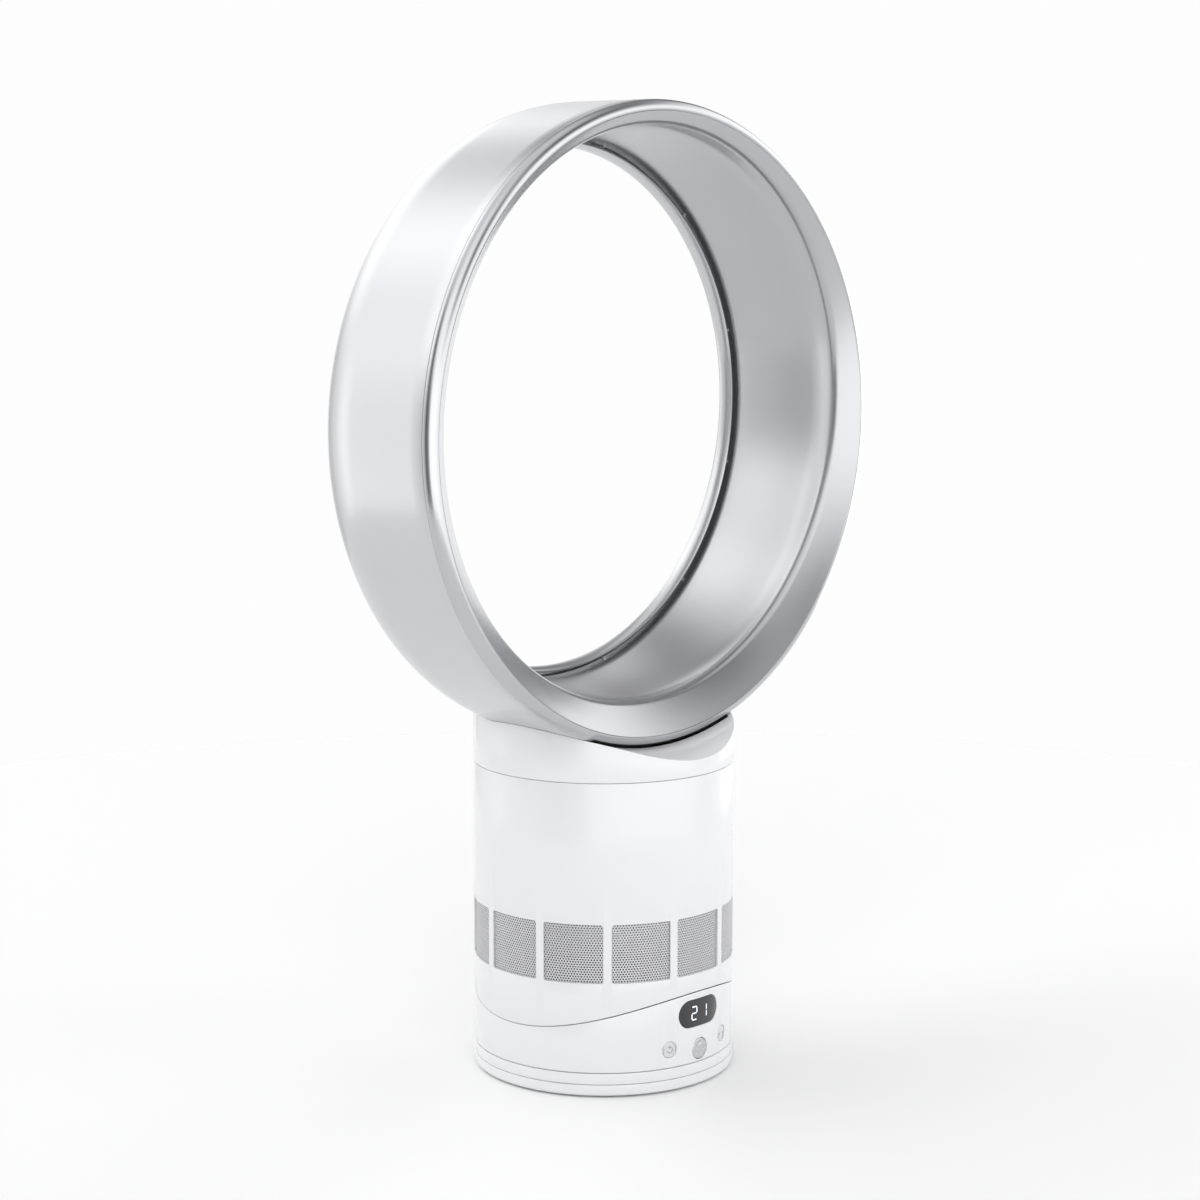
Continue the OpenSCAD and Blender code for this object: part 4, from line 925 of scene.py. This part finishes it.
class FAN_OT_base(FanOperator, bpy.types.Operator):
    """Model the turning base, with its curved top and the openings for the controls"""

    bl_idname = "fan.base"
    bl_label = "Base"

    # In millimetres: place across, half width, half length
    ROOF_SLOTS = ((-30, 3.4, 54.2), (30, 3.4, 54.2), (0, 7, 40.5))
    PAD_RECESSES = ((-48, 3.5, 25.1), (48, 3.5, 25.1))

    def build(self, scene):
        size, controls = scene.fan_column, scene.fan_controls
        out, steps, foot = size.radius, size.steps, size.base_bottom
        inner, roof, above = out - size.wall, size.tilt_radius + size.tilt_gap / 2, 60 * MM

        def opening(across, half, reach):
            """A block through the roof, to cut with."""
            return block(((across - half) * MM, -reach * MM, 30 * MM),
                         ((across + half) * MM, reach * MM, above))

        shell = turned("base_skin", eased([
            (0, foot), (out, foot, size.edge, 3), (out, above), (0, above)], False),
            steps, closed=False)
        combine(shell, tilt_bar(roof))
        hollow = core(inner, foot - MM, above, steps)
        combine(shell, combine(hollow, tilt_bar(roof + 2.5 * MM)))
        cut(shell, *(opening(*slot) for slot in self.ROOF_SLOTS))
        for recess in self.PAD_RECESSES:
            combine(shell, combine(opening(*recess), tilt_bar(roof + MM), "INTERSECT"))
        combine(shell, plate(controls.lens_width, controls.lens_height, 7.9 * MM,
                             -out - MM, -inner + 2 * MM, controls.lens_place, pieces=16))
        side, height = controls.button_side, controls.button_place
        key, dial = controls.button_radius + 0.2 * MM, controls.dial_radius + 0.25 * MM
        for x, z, radius, facets in ((-side, height, key, 64), (side, height, key, 64),
                                     (0, controls.dial_place, dial, 96)):
            combine(shell, rod(radius, (x, -out - MM, z), (x, -inner + 6 * MM, z), facets))
        smooth(rounded(shell, 0.22 * MM, 2, at_skin(out, foot + MM, above)))
        placed(shell, "base", "white_shell", "base_shell")


class FAN_OT_body(FanOperator, bpy.types.Operator):
    """Model the tilting body with its ring of intake windows"""

    bl_idname = "fan.body"
    bl_label = "Body"

    LEDGES = (160, 146)  # heights of the two ledges inside, in millimetres

    def build(self, scene):
        size, intake = scene.fan_column, scene.fan_intake
        out, top, start = size.radius, size.body_top, 30 * MM
        inner, recess = out - size.wall, intake.sheet_radius + 0.1 * MM
        margin = 3.3 * MM
        bottom = intake.window_bottom - margin
        crown = intake.window_bottom + intake.window_height + margin
        ledges = []
        for height in self.LEDGES:
            upper, lower, reach = height * MM, (height - 2.5) * MM, inner - 2.4 * MM
            ledges += [(inner, upper), (reach, upper), (reach, lower), (inner, lower)]
        shell = turned("body_skin", divided(eased([
            (out, start), (out, top, size.edge, 3), (inner, top, 0.2 * MM, 1), *ledges,
            (inner, crown), (recess, crown), (recess, bottom), (inner, bottom),
            (inner, start)]), 60 * MM), size.steps)
        combine(shell, tilt_bar(size.tilt_radius - size.tilt_gap / 2), "INTERSECT")
        window = plate(intake.window_width, intake.window_height, intake.window_round,
                       -out - MM, -inner + 3 * MM, intake.window_bottom + intake.window_height / 2)
        combine(shell, ring_of(window, intake.window_count))
        smooth(rounded(shell, 0.2 * MM, 2, at_skin(out, start, top - MM), 0.05 * MM))
        placed(shell, "head", "white_shell", "body_shell")


class FAN_OT_intake(FanOperator, bpy.types.Operator):
    """Model the finely drilled intake sheet: one hole, repeated and bent round the column"""

    bl_idname = "fan.intake"
    bl_label = "Intake sheet"

    def build(self, scene):
        intake = scene.fan_intake
        radius = intake.sheet_radius - intake.sheet_wall / 2
        pitch = math.pi * radius / intake.columns
        rise = pitch * math.sqrt(3) / 2
        half = pitch / 2
        only(None)
        bpy.ops.mesh.primitive_circle_add(
            vertices=8, radius=intake.hole / 2, fill_type="NOTHING",
            rotation=(math.radians(90), 0, 0))
        settle()
        sheet = named(bpy.context.object, "intake_sheet_front")
        open_mesh(sheet, "SELECT")
        bpy.ops.mesh.extrude_edges_move()
        bpy.ops.transform.resize(
            value=(half / (intake.hole / 2), 1, (rise / 2) / (intake.hole / 2)))
        near = 0.1 * MM
        pick(sheet, lambda co: abs(co.x) > near and abs(co.z) > near
             and (co.x / half) ** 2 + (co.z / (rise / 2)) ** 2 > 0.9)
        bpy.ops.transform.resize(value=(math.sqrt(2), 1, math.sqrt(2)))
        close_mesh()
        above = copied(sheet)
        open_mesh(above, "SELECT")
        bpy.ops.transform.translate(value=(half, 0, rise))
        close_mesh()
        heal(joined([sheet, above]))
        merge = 0.01 * MM
        for count, step in ((intake.columns, (pitch, 0, 0)), (intake.rows, (0, 0, 2 * rise))):
            modified(sheet, "ARRAY", count=count, use_relative_offset=False,
                     use_constant_offset=True, constant_offset_displace=step,
                     use_merge_vertices=True, merge_threshold=merge)
        across = intake.columns * pitch
        tall = 2 * intake.rows * rise
        middle = intake.window_bottom + intake.window_height / 2
        open_mesh(sheet, "SELECT")
        bpy.ops.mesh.remove_doubles(threshold=merge)
        bpy.ops.transform.translate(value=(half - across / 2, 0, middle - tall / 2 + rise / 2))
        reach = intake.window_height / 2 + 3.1 * MM - tall / 2
        for end in (-1, 1):
            edge = middle + end * tall / 2
            pick(sheet, lambda co: abs(co.z - edge) < merge)
            bpy.ops.mesh.extrude_region_move(TRANSFORM_OT_translate={"value": (0, 0, end * reach)})
        close_mesh()
        modified(sheet, "SIMPLE_DEFORM", deform_method="BEND", deform_axis="Z",
                 angle=math.pi * (across + half) / across)
        open_mesh(sheet, "SELECT")
        bpy.ops.transform.translate(value=(0, -radius, 0))
        bpy.ops.mesh.normals_make_consistent(inside=False)
        close_mesh()
        modified(sheet, "SOLIDIFY", thickness=intake.sheet_wall, offset=0.0)
        back = named(copied(sheet, math.pi), "intake_sheet_back")
        for piece in (sheet, back):
            placed(smooth(piece, 40), "head", "grille", "intake_grille")


class FAN_OT_neck(FanOperator, bpy.types.Operator):
    """Model the neck, whose top is hollowed to carry the loop"""

    bl_idname = "fan.neck"
    bl_label = "Neck"

    @staticmethod
    def saddle(scene, wall):
        """The loop's form, as far as the neck follows it, moved out by a wall."""
        size, loop = scene.fan_column, scene.fan_loop
        out = size.radius + MM
        front, rear, fit = loop.front, loop.rear, 0.1 * MM
        flare = 4 * MM
        nose_r, nose_y = loop.radius - loop.nose_drop, rear - loop.nose_length
        start = rear - 5 * MM
        reach = math.asin((start - nose_y) / loop.nose_length)
        begin = nose_r + loop.nose_drop * math.cos(reach) + fit
        rise = loop.radius + flare - begin
        points = [(0, -out)]
        for step in range(16, -1, -1):
            y = front - (out + front) * step / 16
            share = (abs(y) + front) / (size.radius + front)
            points.append((loop.radius + fit + flare * max(0, share) ** 2.2 + wall, y))
        over = MM if wall else 0.0
        points += [(loop.radius + fit - over, front + wall)] if wall else []
        points.append((loop.radius + fit - over, nose_y - wall))
        for step in range(1, 25):
            turn = reach * step / 24
            points.append((nose_r + loop.nose_drop * math.cos(turn) + fit - over,
                           nose_y + loop.nose_length * math.sin(turn) - wall))
        for step in range(0 if wall else 1, 17):
            y = start + (out - start) * step / 16
            share = (y - start) / (size.radius - start)
            points.append((begin + rise * share ** 0.8 + wall, y))
        points.append((0, out))
        return turned("tool", points, loop.steps, "Y", (0, 0, loop.centre), closed=False)

    def build(self, scene):
        size = scene.fan_column
        out, steps, low_edge = size.radius, size.steps, size.neck_bottom
        skirt, skirt_foot, above = 65.9 * MM, 165.45 * MM, 229 * MM
        neck = turned("neck_skin", eased([
            (0, skirt_foot), (skirt, skirt_foot, 0.5 * MM, 3), (skirt, low_edge),
            (out, low_edge, size.edge, 3), (out, above), (0, above)], False), steps, closed=False)
        combine(neck, self.saddle(scene, 0.0))
        hollow = core(out - size.wall, low_edge + 2.4 * MM, above, steps)
        combine(neck, combine(hollow, self.saddle(scene, size.wall)))
        combine(neck, core(63.0 * MM, 160 * MM, low_edge + 5 * MM, steps))
        smooth(rounded(neck, 0.2 * MM, 2, at_skin(out, low_edge + 5 * MM, above), 0.2 * MM))
        placed(neck, "head", "white_shell", "nozzle_neck")


class FAN_OT_outer_casing(FanOperator, bpy.types.Operator):
    """Model the loop's outer casing, from the rim's seam to the rear lip"""

    bl_idname = "fan.outer_casing"
    bl_label = "Outer casing"

    def build(self, scene):
        loop = scene.fan_loop
        out, wall, seam = loop.radius, loop.wall, loop.front + loop.rim
        nose = (out - loop.nose_drop, loop.rear - loop.nose_length)
        lip, brow_y = loop.lip, loop.rear - 4 * MM
        skin = eased([(out - wall, seam), (out, seam, 0.25 * MM, 2), (out, nose[1])], False)
        outline = divided(skin, 9 * MM)
        outline += arc(nose, (loop.nose_drop, loop.nose_length), 0, 90, 30)[1:]
        brow, curl = (lip + 5.3 * MM, brow_y), (lip + 12 * MM, brow_y)
        outline += arc(brow, (5.3 * MM, 4 * MM), 90, 180, 12)
        outline += arc(curl, (12 * MM, 12 * MM), 180, 215, 10)[1:]
        outline += arc(curl, (10.6 * MM, 10.6 * MM), 215, 180, 6)
        outline += arc(brow, (3.9 * MM, 2 * MM), 180, 90, 6)[1:]
        outline += arc(nose, (loop.nose_drop - wall, loop.nose_length - wall), 90, 0, 16)
        casing = turned("outer_casing_skin", outline, loop.steps, "Y", (0, 0, loop.centre))
        open_mesh(casing)
        limit = lip + 6 * MM
        pick(casing, lambda co: math.hypot(co.x, co.z - loop.centre) < limit)
        bpy.ops.transform.translate(value=(0, 0, loop.lift))
        close_mesh()
        half, side = -loop.front - 14 * MM, 58 * MM
        duct = core(56.0 * MM, 179 * MM, 206 * MM, 96)
        combine(duct, block((-side, -half, 170 * MM), (side, half, 230 * MM)), "INTERSECT")
        combine(casing, duct)
        placed(smooth(casing, 30), "head", "silver_casing", "outer_casing")


class FAN_OT_inner_casing(FanOperator, bpy.types.Operator):
    """Model the inner casing: the dished front face and the surface that guides the air"""

    bl_idname = "fan.inner_casing"
    bl_label = "Inner casing"

    def build(self, scene):
        loop = scene.fan_loop
        wall, front, mouth, ridge = loop.wall, loop.front, loop.mouth, loop.ridge
        edge = loop.radius - loop.rim
        slope = math.tan(math.radians(36.5))
        depth = wall * math.sqrt(1 + 1 / slope ** 2)
        cup, waist = (160.0 * MM, -24.5 * MM), (155.38 * MM, 5.95 * MM)
        tail, end = (mouth - 0.6 * MM, 28 * MM), 40 * MM
        dish = 168.0 * MM

        def face(radius, back=0.0):
            """Where the dished face lies at a radius."""
            return front + slope * (edge + back - radius)

        inner = eased([(ridge, face(ridge)), (*cup, 5 * MM, 6), (*waist, 14 * MM, 12),
                       (*tail, 6 * MM, 6), (mouth, end)], False)
        outer = eased([(mouth + wall, end), (tail[0] + wall, tail[1], 6 * MM, 3),
                       (waist[0] + wall, waist[1], 14 * MM, 6), (cup[0] + wall, cup[1]),
                       (ridge + wall, face(ridge + wall, depth))], False)
        outline = eased([
            (edge - 0.1 * MM, face(edge, depth)), (edge - 0.1 * MM, front, 0.2 * MM, 1),
            (dish, face(dish))], False)
        outline += divided(inner, 9 * MM) + divided(outer, 12 * MM)
        casing = turned("inner_casing_skin", outline, loop.steps, "Y", (0, 0, loop.centre))
        open_mesh(casing)
        limit, near = 166 * MM, 0.01 * MM
        pick(casing, lambda co: math.hypot(co.x, co.z - loop.centre) < limit)
        bpy.ops.transform.translate(value=(0, 0, loop.lift))
        middle = loop.centre + loop.lift
        for radius, y in ((ridge, face(ridge)), (ridge + wall, face(ridge + wall, depth))):
            found = pick(casing, lambda co: abs(co.y - y) < near
                         and abs(math.hypot(co.x, co.z - middle) - radius) < near)
            if found != loop.steps:
                raise RuntimeError(f"the inner casing's front edge has {found} points")
            bpy.ops.transform.rotate(
                value=-math.atan(slope * loop.lift / ridge), orient_axis="X",
                orient_type="GLOBAL", center_override=(0, y, middle))
            bpy.ops.transform.translate(value=(0, 0, -0.5 * MM))
            if radius == ridge:
                bevel(loop.ridge_round, 7)
        close_mesh()
        # The inner casing takes the darker copy of the silver paint, which is painted shade
        placed(smooth(casing, 24), "head", "silver_casing", "inner_casing",
               finish=finish_of("silver_guide"))


class FAN_OT_rim(FanOperator, bpy.types.Operator):
    """Model the polished rim round the loop's front"""

    bl_idname = "fan.rim"
    bl_label = "Polished rim"

    def build(self, scene):
        loop = scene.fan_loop
        seat = (loop.radius - loop.rim, loop.front + loop.rim)
        thick = loop.rim - loop.wall
        skirt = loop.radius - loop.wall - 0.1 * MM
        tuck, depth = skirt - 2 * MM, seat[1] + 8 * MM
        outline = [(skirt, seat[1]), (loop.radius - 0.25 * MM, seat[1])]
        outline += arc(seat, (loop.rim, loop.rim), -2.5, -88, 22)
        outline += [(seat[0], loop.front + 0.25 * MM)]
        outline += arc(seat, (thick, thick), -90, -18, 8)
        outline += [(tuck, seat[1] - MM), (tuck, depth), (skirt, depth)]
        rim = turned("polished_rim", outline, loop.steps, "Y", (0, 0, loop.centre))
        placed(smooth(rim, 30), "head", "silver_rim", "front_trim_ring")


class FAN_OT_display(FanOperator, bpy.types.Operator):
    """Model the black display lens and its two lit digits"""

    bl_idname = "fan.display"
    bl_label = "Display"

    # Each bar: place across and up, in halves of the digit, and whether it stands
    BARS = {"top": (0, 1, False), "middle": (0, 0, False), "bottom": (0, -1, False),
            "upper_left": (-1, 0.5, True), "upper_right": (1, 0.5, True),
            "lower_left": (-1, -0.5, True), "lower_right": (1, -0.5, True)}
    SHOWN = {2: ("top", "upper_right", "middle", "lower_left", "bottom"),
             1: ("upper_right", "lower_right")}

    def build(self, scene):
        size, controls = scene.fan_column, scene.fan_controls
        inner, gap = size.radius - size.wall, 0.15 * MM
        face, middle = size.radius - 0.1 * MM, controls.lens_place
        ends = middle - 20 * MM, middle + 20 * MM
        lens = plate(controls.lens_width - 2 * gap, controls.lens_height - 2 * gap, 7.75 * MM,
                     -size.radius - MM, -50 * MM, middle, "display_window", 16)
        trimmed(lens, inner, face, *ends)
        rounded(lens, 0.3 * MM, 3, at_skin(face, 20 * MM, 60 * MM), 0.02 * MM)
        light_pipe = block((-11 * MM, -inner - 0.4 * MM, middle - 5.65 * MM),
                           (11 * MM, -69.4 * MM, middle + 4.85 * MM))
        smooth(combine(lens, light_pipe, "UNION"))
        placed(lens, "base", "black_lens", "display_lens")

        tall = controls.digit_height / 2
        wide = tall * 0.52
        stroke = 0.42 * MM
        bars = []
        for value, spot in ((2, -4.6 * MM), (1, 3.6 * MM)):
            for bar in self.SHOWN[value]:
                x, z, upright = self.BARS[bar]
                span = tall / 2 if upright else wide
                only(None)
                bpy.ops.mesh.primitive_cylinder_add(
                    vertices=6, radius=stroke, depth=4 * MM, rotation=(math.radians(90), 0, 0))
                settle()
                piece = bpy.context.object
                open_mesh(piece)
                for side in (-1, 1):
                    pick(piece, lambda co: co.z * side > 0.1 * stroke)
                    bpy.ops.transform.translate(value=(0, 0, side * (span - 1.55 * stroke)))
                close_mesh()
                if not upright:
                    piece.rotation_euler = (0, math.pi / 2, 0)
                piece.location = (spot + x * wide, -size.radius, middle + z * tall)
                settle()
                bars.append(piece)
        digits = named(joined(bars), "display_digits")
        trimmed(digits, face - 0.2 * MM, face + 0.04 * MM, *ends)
        placed(digits, "base", "black_lens", finish=lit_digit(scene.fan_finishes.digit))


class FAN_OT_buttons(FanOperator, bpy.types.Operator):
    """Model the two push buttons and their marks"""

    bl_idname = "fan.buttons"
    bl_label = "Buttons"

    ENDS = 10 * MM, 40 * MM  # heights between which the buttons lie
    FRONT, BACK = -75 * MM, -60 * MM  # reach of a mark before it is trimmed
    STROKE = 0.17 * MM

    def bow(self, centre, radius, start, end):
        """A flat arc facing the front, from one angle to another, drawn as a spun bar."""
        stroke = self.STROKE
        obj = block((radius - stroke, self.FRONT, -stroke), (radius + stroke, self.BACK, stroke),
                    "mark")
        open_mesh(obj)
        pick(obj, lambda co: co.z > 0)
        bpy.ops.mesh.delete(type="VERT")
        bpy.ops.mesh.select_all(action="SELECT")
        bpy.ops.transform.translate(value=(0, 0, stroke))
        bpy.ops.mesh.edge_face_add()
        bpy.ops.mesh.spin(
            steps=28, angle=math.radians(end - start), center=(0, 0, 0), axis=(0, -1, 0))
        close_mesh()
        only(obj)
        obj.rotation_euler = (0, -math.radians(start), 0)
        obj.location = centre
        settle()
        return heal(obj)

    def power_mark(self, spot):
        """An open circle and a bar."""
        mark = self.bow(spot, 1.7 * MM, 125, 415)
        bar = block((-self.STROKE, self.FRONT, 0.5 * MM), (self.STROKE, self.BACK, 2.3 * MM))
        bar.location = spot
        only(bar)
        settle()
        return combine(mark, bar, "UNION")

    def swing_mark(self, spot):
        """A bow with an arrow head at each end."""
        marks = [self.bow(spot + Vector((0, 0, -1.2 * MM)), 2.4 * MM, 35, 145)]
        for end in (-1, 1):
            only(None)
            bpy.ops.mesh.primitive_cylinder_add(
                vertices=3, radius=0.75 * MM, depth=15 * MM,
                rotation=(math.radians(90), math.radians(90 + end * 60), 0),
                location=spot + Vector((end * 2.0 * MM, -67.5 * MM, 0.0)))
            settle()
            marks.append(bpy.context.object)
        for head in marks[1:]:
            combine(marks[0], head, "UNION")
        return marks[0]

    def build(self, scene):
        size, controls = scene.fan_column, scene.fan_controls
        face, radius = size.radius - 0.15 * MM, controls.button_radius
        flange, stem, seat, tip, end = 6 * MM, 1.5 * MM, -66.1 * MM, -64.9 * MM, -63.6 * MM
        ink = moulding(scene.fan_finishes.ink, 0.45, 2000.0, 0.04, name="key ink")
        for side, name, body, node, drawn in (
                (-1, "power", "power_key", "power_button", self.power_mark),
                (1, "oscillation", "oscillation_key", "oscillation_button", self.swing_mark)):
            spot = Vector((side * controls.button_side, 0, controls.button_place))
            key = turned(f"{name}_key_cap", [
                (0, self.FRONT), (radius, self.FRONT), (radius, seat), (flange, seat),
                (flange, tip), (stem, tip), (stem, end), (0, end)], 72, "Y", spot, closed=False)
            combine(key, core(face, *self.ENDS), "INTERSECT")
            smooth(rounded(key, 0.4 * MM, 3, at_skin(face, *self.ENDS), 0.02 * MM))
            placed(key, body, "pale_key", node)
            mark = trimmed(drawn(spot), face - 0.15 * MM, face + 0.03 * MM, *self.ENDS)
            placed(named(mark, f"{name}_mark"), body, "pale_key", finish=ink)


class FAN_OT_dial(FanOperator, bpy.types.Operator):
    """Model the speed dial with its finger dimple"""

    bl_idname = "fan.dial"
    bl_label = "Speed dial"

    def build(self, scene):
        size, controls = scene.fan_column, scene.fan_controls
        radius, face = controls.dial_radius, -size.radius + 0.25 * MM
        rear, stem, end, soft = face + 3.4 * MM, 2 * MM, -61.45 * MM, 0.8 * MM
        dial = turned("speed_dial_knob", eased([
            (0, face), (radius * 0.55, face, soft, 4), (radius, face, soft, 6), (radius, rear),
            (stem, rear), (stem, end), (0, end)], False),
            96, "Y", (0, 0, controls.dial_place), closed=False)
        only(None)
        bpy.ops.mesh.primitive_uv_sphere_add(
            segments=48, ring_count=24, radius=1.96 * MM,
            location=(0, face - 1.26 * MM, controls.dial_place + 3.12 * MM))
        settle()
        combine(dial, named(bpy.context.object, "tool"))
        placed(smooth(dial, 32), "dial", "silver_control", "speed_dial")


class FAN_OT_stage(FanOperator, bpy.types.Operator):
    """Make the pale floor, the soft surrounding light and the camera"""

    bl_idname = "fan.stage"
    bl_label = "Stage"

    def build(self, scene):
        studio = scene.fan_studio
        only(None)
        bpy.ops.mesh.primitive_circle_add(
            vertices=128, radius=studio.floor_radius, fill_type="NGON")
        floor = named(bpy.context.object, "studio_floor")
        open_mesh(floor, "SELECT")
        bpy.ops.mesh.inset(thickness=studio.floor_radius / 2)
        close_mesh()
        floor.data.materials.append(studio_floor(studio.floor))
        self.surroundings(scene, studio)
        self.camera(scene, studio)

    @staticmethod
    def surroundings(scene, studio):
        """A pale tent of soft panels round the fan, and a plain backdrop for the camera."""
        world = bpy.data.worlds.new("studio tent")
        world.use_nodes = True
        scene.world = world
        graph = Graph(world.node_tree)
        way = graph.out("ShaderNodeTexCoord", output="Generated")
        east, north, up = (Wire(graph, part) for part in
                           graph.add("ShaderNodeSeparateXYZ", {}, {0: way}).outputs)
        turn = graph.out("ShaderNodeMath", {"operation": "ARCTAN2"}, {0: north, 1: east})
        turn = graph.out("ShaderNodeMath", {"operation": "FRACT"}, {0: turn / (2 * math.pi)})

        def row(panels):
            """One row's brightness: its panels melt into each other round the fan."""
            stops = [(index / len(panels), value)
                     for index, value in enumerate((*panels, panels[0]))]
            ramp = graph.out("ShaderNodeValToRGB", {"stops": stops, "interpolation": "EASE"},
                             {0: turn})
            return graph.out("ShaderNodeSeparateColor", {}, {0: ramp})

        height, panels = TENT[0]
        value = row(panels)
        for above, panels in TENT[1:]:
            share = graph.out("ShaderNodeMapRange", {"interpolation_type": "SMOOTHSTEP"}, {
                0: up, 1: math.sin(math.radians(height)), 2: math.sin(math.radians(above)),
                3: 0.0, 4: 1.0})
            value, height = value + (row(panels) - value) * share, above
        light = graph.add("ShaderNodeBackground", {}, {"Color": (1, 1, 1)})
        value = value * studio.strength
        seen = graph.out("ShaderNodeLightPath")
        graph.fill(light, {"Strength": value + (studio.backdrop - value) * seen})
        graph.add("ShaderNodeOutputWorld", {}, {0: Wire(graph, light.outputs[0])})
        scene.view_settings.view_transform = "Standard"

    @staticmethod
    def camera(scene, studio):
        """The camera, where the photograph's stood."""
        only(None)
        heading, pitch = studio.heading, studio.pitch
        right = Vector((math.cos(heading), -math.sin(heading), 0))
        spot = Vector((-math.sin(heading) * studio.distance, -math.cos(heading) * studio.distance,
                       studio.height)) - right * studio.aside
        bpy.ops.object.camera_add(location=spot, rotation=(math.pi / 2 - pitch, 0, -heading))
        camera = bpy.context.object
        camera.name = "studio_camera"
        camera.data.lens = studio.focal
        camera.data.sensor_width = 36.0
        camera.data.clip_start, camera.data.clip_end = 0.05, 100.0
        scene.camera = camera


class FAN_PT_panel(bpy.types.Panel):
    """Lists the fan's operators and sizes in the sidebar"""

    bl_label = "Loop Fan"
    bl_idname = "FAN_PT_panel"
    bl_space_type = "VIEW_3D"
    bl_region_type = "UI"
    bl_category = "Loop Fan"

    def draw(self, context):
        column = self.layout.column(align=True)
        for operator in OPERATORS:
            column.operator(operator.bl_idname)
        for group, kind in GROUPS.items():
            box = self.layout.box()
            box.label(text=kind.__doc__)
            for key in kind.__annotations__:
                box.prop(getattr(context.scene, group), key)


OPERATORS = (
    FAN_OT_stage, FAN_OT_finishes, FAN_OT_foot, FAN_OT_base, FAN_OT_display, FAN_OT_buttons,
    FAN_OT_dial, FAN_OT_body, FAN_OT_intake, FAN_OT_neck, FAN_OT_outer_casing,
    FAN_OT_inner_casing, FAN_OT_rim,
)
CLASSES = (*GROUPS.values(), *OPERATORS, FAN_PT_panel)


def register():
    """Registers the classes and gives the scene its groups of sizes."""
    for item in CLASSES:
        bpy.utils.register_class(item)
    for name, kind in GROUPS.items():
        setattr(bpy.types.Scene, name, bpy.props.PointerProperty(type=kind))


def unregister():
    """Takes all of it away again."""
    for name in GROUPS:
        delattr(bpy.types.Scene, name)
    for item in reversed(CLASSES):
        bpy.utils.unregister_class(item)


def main():
    """Runs every operator in order."""
    register()
    for operator in OPERATORS:
        category, name = operator.bl_idname.split(".")
        getattr(getattr(bpy.ops, category), name)()
    bpy.context.view_layer.update()


if __name__ == "__main__":
    main()
